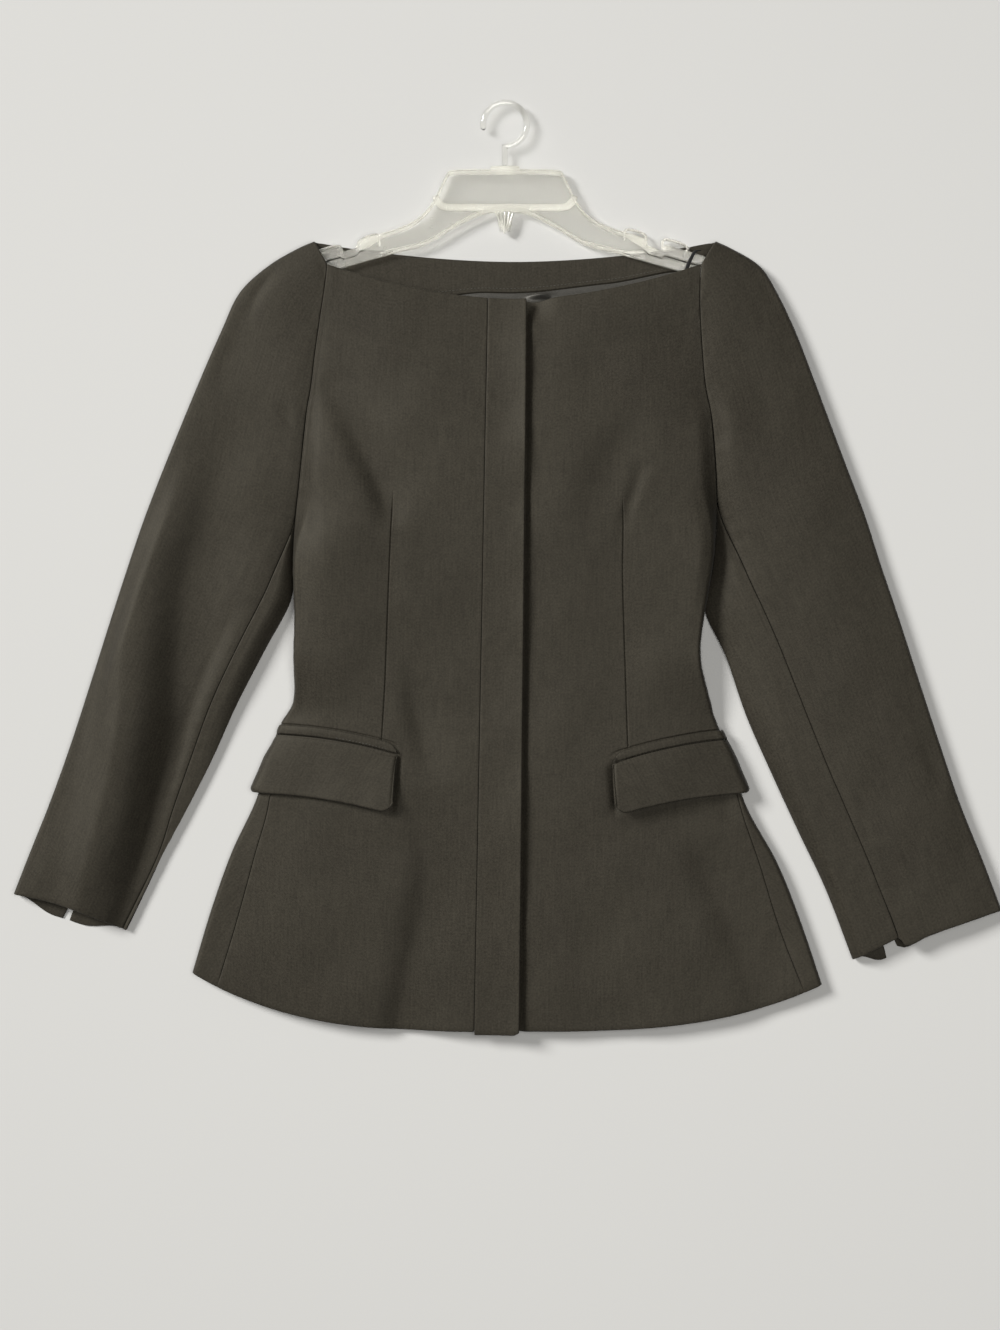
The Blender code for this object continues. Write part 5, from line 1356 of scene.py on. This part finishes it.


# rim faces get the milkier plastic, a painted highlight along the rims, and the flat web stays clear
def setHighlightRims(piece):
    mesh = piece.data
    mesh.materials.clear()
    mesh.materials.append(plastic)
    mesh.materials.append(rimHighlightPlastic)
    half = 0.5 * hangerCut["web"] + hangerCut["webSlack"]
    for face in mesh.polygons:
        web = abs(face.normal.z) > hangerCut["webFlat"] and abs(face.center.z - hangerLevel) < half
        face.material_index = 0 if web else 1


def mouldedHanger():
    fine = tableRows(hangerCut["columns"], hangerCut["rows"], hangerCut["rowSteps"])
    arm, slope = hangerCut["rows"][-1][0], hangerCut["notchSlope"]
    xs = np.linspace(-arm, arm, hangerCut["samples"])
    upper, lower = (np.interp(np.abs(xs), fine["x"][:, 0], fine[name][:, 0]) for name in ("upper", "lower"))
    for low, high in hangerCut["notches"]:      # strap notches in the upper rim
        notch = ramp((xs - low + 0.5 * slope) / slope) * ramp((high + 0.5 * slope - xs) / slope)
        upper = upper - hangerCut["notchDepth"] * notch
    sections = [[(x, y, z) for y, z in rimSection(x, a, b)] for x, a, b in zip(xs, upper, lower)]
    piece = loftPiece("mouldedHanger", sections, plastic)
    window, tongue = hangerCut["window"], hangerCut["tongue"]
    joinBar(piece, "windowBar", [(-x, y) for x, y in window[:0:-1]] + window, hangerCut["windowSteps"])
    joinBar(piece, "hookBoss", hangerCut["boss"])
    shares = np.linspace(0.0, 1.0, tongue["points"])
    joinBar(piece, "tongueBlade", [(0.0, mix(tongue["top"], tongue["bladeFoot"], t)) for t in shares])
    for lean in tongue["ribs"]:         # ribs of the tongue under the bar
        foot = tongue["ribFoot"] + tongue["footRise"] * abs(lean)
        across = tongue["spread"] * lean * (1.0 - tongue["narrow"] * shares ** tongue["power"])
        joinBar(piece, "tongueRib", zip(across, mix(tongue["top"], foot, shares)))
    ring, turns = hangerCut["pinRing"], np.linspace(0.0, hangerCut["pinTurn"], hangerCut["pinPoints"])
    for x, y in hangerCut["pins"]:      # round marks of the mould's pins
        mark = [(x + ring * math.cos(t), y + ring * math.sin(t)) for t in turns]
        joinBar(piece, "pinMark", mark, 0, hangerCut["pinLift"])
    for tab in hangerCut["tabs"]:       # raised frames of the strap tabs
        joinBar(piece, "strapTab", tab, hangerCut["tabSteps"])
    setHighlightRims(piece)
    finishPlastic(piece, "hanger")


hookCut = {
    "start": 0.4468, "tube": 0.0028, "bend": 0.0205, "stem": 0.018, "gap": math.radians(75.0), "sides": 22,
    "stemRows": 8, "bendRows": 64, "tip": 0.25, "foot": 0.93,
}


def hangerHook():
    bend, stem, tube = hookCut["bend"], hookCut["stem"], hookCut["tube"]
    path = [(0.0, hookCut["start"] + stem * t) for t in np.linspace(0.0, 1.0, hookCut["stemRows"])]
    centre = hookCut["start"] + stem + bend
    for t in np.linspace(0.0, 1.0, hookCut["bendRows"])[1:]:
        turn = -math.pi / 2.0 + (2.0 * math.pi - hookCut["gap"]) * t
        path.append((bend * math.cos(turn), centre + bend * math.sin(turn)))
    path = np.array([(x, y, hangerLevel) for x, y in path])
    run = unit(np.gradient(path, axis=0))
    run[0] = (0.0, 1.0, 0.0)
    across = np.stack([run[:, 1], -run[:, 0], np.zeros(len(run))], axis=-1)
    turns = 2.0 * math.pi * np.arange(hookCut["sides"]) / hookCut["sides"]
    gone = runLength(path, 0)
    left = np.clip((gone[-1] - gone) / tube, 0.0, 1.0)
    size = tube * np.maximum(np.sqrt(1.0 - (1.0 - left) ** 2), hookCut["tip"])      # blunt round tip
    size[0] *= hookCut["foot"]
    up = np.array([0.0, 0.0, 1.0])
    sections = []
    for p, w, r in zip(path, across, size):
        sections.append([p + r * (math.cos(t) * w + math.sin(t) * up) for t in turns])
    finishPlastic(loftPiece("hangerHook", sections, plastic), "hanger_hook")


mouldedHanger()
hangerHook()
print("hanger made")

loopCut = {
    "path": [(0.1665, 0.3395, 0.0046), (0.1685, 0.3425, 0.0104), (0.1735, 0.3560, 0.0110),
             (0.1790, 0.3655, 0.0106), (0.1830, 0.3672, 0.0074)],
    "width": 0.0030, "wall": 0.0008, "cup": 0.0008, "rowSteps": 10, "columns": 9,
    "flat": (0.0100, 0.0400, 0.00014),
}


def ribbonLoop():
    path = smoothRun(loopCut["path"], loopCut["rowSteps"])
    share = np.linspace(-0.5, 0.5, loopCut["columns"])
    section = np.stack([share * loopCut["width"], share * 0.0, -loopCut["cup"] * share ** 2], axis=-1)
    piece = clothShell("hangingLoop", path[:, None, :] + section[None, :, :], ribbon, loopCut["wall"])
    finishCloth(piece, "hanger_loop")


ribbonLoop()
print("loop made")

stitchMake = {
    "welt": {"Spacing": 0.0031, "Length": 0.0020, "Thickness": 0.00026, "Unevenness": 0.35, "Seed": 4},
    "neck": {"Spacing": 0.0034, "Length": 0.0022, "Thickness": 0.00022, "Unevenness": 0.12, "Seed": 9},
    "bead": {"Segments": 7, "Rings": 5, "Radius": 1.0},
    "lift": 0.00035, "neckLift": 0.000175, "weltRow": -2, "weltSpan": (-0.158, -0.110),
    "facingRow": -3, "facingEnds": 3, "liningRow": 1, "liningEnds": 4,
}


def stitchTree():
    shape, number = "NodeSocketGeometry", "NodeSocketFloat"
    tree, put, out = newGroup("stitchRun", [
        ("Geometry", shape, None), ("Spacing", number, 0.004), ("Length", number, 0.0026),
        ("Thickness", number, 0.0003), ("Unevenness", number, 0.1), ("Seed", "NodeSocketInt", 1),
        ("Thread", "NodeSocketMaterial", None)], [("Geometry", shape)], "GeometryNodeTree")
    curve = addNode(tree, "GeometryNodeMeshToCurve")
    points = addNode(tree, "GeometryNodeCurveToPoints", mode="LENGTH")
    bead = addNode(tree, "GeometryNodeMeshUVSphere")
    setInputs(bead, stitchMake["bead"])
    size = addNode(tree, "ShaderNodeCombineXYZ")
    scaled = addNode(tree, "GeometryNodeTransform")
    vary = addNode(tree, "FunctionNodeRandomValue", data_type="FLOAT")
    place = addNode(tree, "GeometryNodeInstanceOnPoints")
    real = addNode(tree, "GeometryNodeRealizeInstances")
    paint = addNode(tree, "GeometryNodeSetMaterial")
    given = put.outputs
    half = addMath(tree, "MULTIPLY", given["Length"], 0.5)
    least, most = (addMath(tree, sign, 1.0, given["Unevenness"]) for sign in ("SUBTRACT", "ADD"))
    low, high = [socket for socket in vary.inputs if socket.type == "VALUE"][:2]
    varied = [socket for socket in vary.outputs if socket.type == "VALUE"][0]
    for start, end in (
            (given["Geometry"], curve.inputs["Mesh"]), (curve.outputs[0], points.inputs["Curve"]),
            (given["Spacing"], points.inputs["Length"]), (given["Thickness"], size.inputs[0]),
            (given["Thickness"], size.inputs[1]), (half, size.inputs[2]),
            (bead.outputs["Mesh"], scaled.inputs["Geometry"]), (size.outputs[0], scaled.inputs["Scale"]),
            (least, low), (most, high), (given["Seed"], vary.inputs["Seed"]), (varied, place.inputs["Scale"]),
            (points.outputs["Points"], place.inputs["Points"]),
            (points.outputs["Rotation"], place.inputs["Rotation"]),
            (scaled.outputs[0], place.inputs["Instance"]), (place.outputs[0], real.inputs[0]),
            (real.outputs[0], paint.inputs["Geometry"]), (given["Thread"], paint.inputs["Material"]),
            (paint.outputs[0], out.inputs[0])):
        tree.links.new(start, end)
    return tree


threadLook = {
    "deep": (0.030, 0.028, 0.024), "light": (0.095, 0.090, 0.080), "ply": (2600.0, 2.0), "rough": 0.62,
}


def makeThread():
    made, tree, shader = newMaterial("sewingThread")
    place = addNode(tree, "ShaderNodeTexCoord")
    ply = addNoise(tree, place.outputs["Object"], *threadLook["ply"])
    tree.links.new(mixColour(tree, ply, threadLook["deep"], threadLook["light"]), shader.inputs["Base Color"])
    setInputs(shader, {"Roughness": threadLook["rough"]})
    return made


thread = makeThread()
stitches = stitchTree()
stitchIds = {item.name: item.identifier for item in stitches.interface.items_tree if item.in_out == "INPUT"}


def sewLines(name, lines, values):
    verts, edges = [], []
    for line in lines:
        first = len(verts)
        verts += [tuple(p) for p in line + planShift]
        edges += [(k, k + 1) for k in range(first, len(verts) - 1)]
    mesh = bpy.data.meshes.new(name + "Path")
    mesh.from_pydata(verts, edges, [])
    path = linkPiece(name + "Path", mesh)
    run = path.modifiers.new("stitches", "NODES")
    run.node_group = stitches
    for label, value in values.items():
        run[stitchIds[label]] = value
    run[stitchIds["Thread"]] = thread
    made = bpy.data.meshes.new_from_object(path.evaluated_get(bpy.context.evaluated_depsgraph_get()))
    path.modifiers.clear()
    bpy.data.objects.remove(path, do_unlink=True)
    smoothFaces(made)
    piece = linkPiece(name, made)
    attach(piece, "root")
    print(name, len(made.polygons), "faces")


def stitchLines():
    up = np.array([0.0, 0.0, 1.0])
    seam, (start, end) = weltGrids["left"][stitchMake["weltRow"]], stitchMake["weltSpan"]
    welt = seam[(seam[:, 0] > start) & (seam[:, 0] < end)] + stitchMake["lift"] * up
    ends, others = stitchMake["facingEnds"], stitchMake["liningEnds"]
    neck = [facingGrid[stitchMake["facingRow"], ends:-ends],
            liningGrid[stitchMake["liningRow"], others:-others]]
    neck = [line + stitchMake["neckLift"] * up for line in neck]
    sewLines("weltStitches", [welt], stitchMake["welt"])     # they show on the left welt only
    sewLines("neckStitches", neck, stitchMake["neck"])


stitchLines()
print("stitches made")

stageLook = {
    "floor": (0.54, 0.54, 0.53), "shade": 0.985, "cloud": (3.0, 2.0), "rough": 0.9, "half": 4.0,
    "room": (1.0, 0.985, 0.965), "roomStrength": 0.08, "aim": (0.0, -0.05, 0.0),
    "camera": (-0.0072, -0.0925), "plane": 0.010, "distance": 2.4, "frameTall": 1.250, "sensor": 36.0,
}
lights = {
    "overLight": {"place": (0.40, -0.20, 2.7), "size": 1.7, "power": 42.0, "colour": (1.0, 0.985, 0.955)},
    "keyLight": {"place": (-8.6, 5.0, 6.6), "size": 4.0, "power": 1940.0, "colour": (1.0, 0.988, 0.965)},
}


def makeFloor():
    made, tree, shader = newMaterial("paleFloor")
    place = addNode(tree, "ShaderNodeTexCoord")
    cloud = addNoise(tree, place.outputs["Object"], *stageLook["cloud"])
    shade = tuple(v * stageLook["shade"] for v in stageLook["floor"])
    tree.links.new(mixColour(tree, cloud, shade, stageLook["floor"]), shader.inputs["Base Color"])
    setInputs(shader, {"Roughness": stageLook["rough"]})
    half = stageLook["half"]
    corners = [(-half, -half, 0.0), (half, -half, 0.0), (half, half, 0.0), (-half, half, 0.0)]
    meshPiece("paleFloor", corners, [(0, 1, 2, 3)], made)


def softLight(name, look):
    light = bpy.data.lights.new(name, "AREA")
    light.shape = "DISK"
    light.size = look["size"]
    light.energy = look["power"]
    light.color = look["colour"]
    lamp = linkPiece(name, light)
    lamp.location = look["place"]
    way = np.array(stageLook["aim"]) - np.array(look["place"])
    lamp.rotation_euler = (math.acos(-way[2] / np.linalg.norm(way)), 0.0, math.atan2(-way[0], way[1]))


def softRoom():
    world = bpy.data.worlds.new("softRoom")
    world.use_nodes = True
    sky = {"Color": (*stageLook["room"], 1.0), "Strength": stageLook["roomStrength"]}
    setInputs(world.node_tree.nodes["Background"], sky)
    scene.world = world


def photoCamera():
    eye = bpy.data.cameras.new("photoCamera")
    eye.sensor_width = stageLook["sensor"]
    eye.lens = stageLook["sensor"] * stageLook["distance"] / stageLook["frameTall"]
    camera = linkPiece("photoCamera", eye)
    camera.location = (*stageLook["camera"], stageLook["plane"] + stageLook["distance"])
    scene.camera = camera
    scene.view_settings.view_transform = "Standard"


makeFloor()
for name, look in lights.items():
    softLight(name, look)
softRoom()
photoCamera()
print("floor, light and camera set")
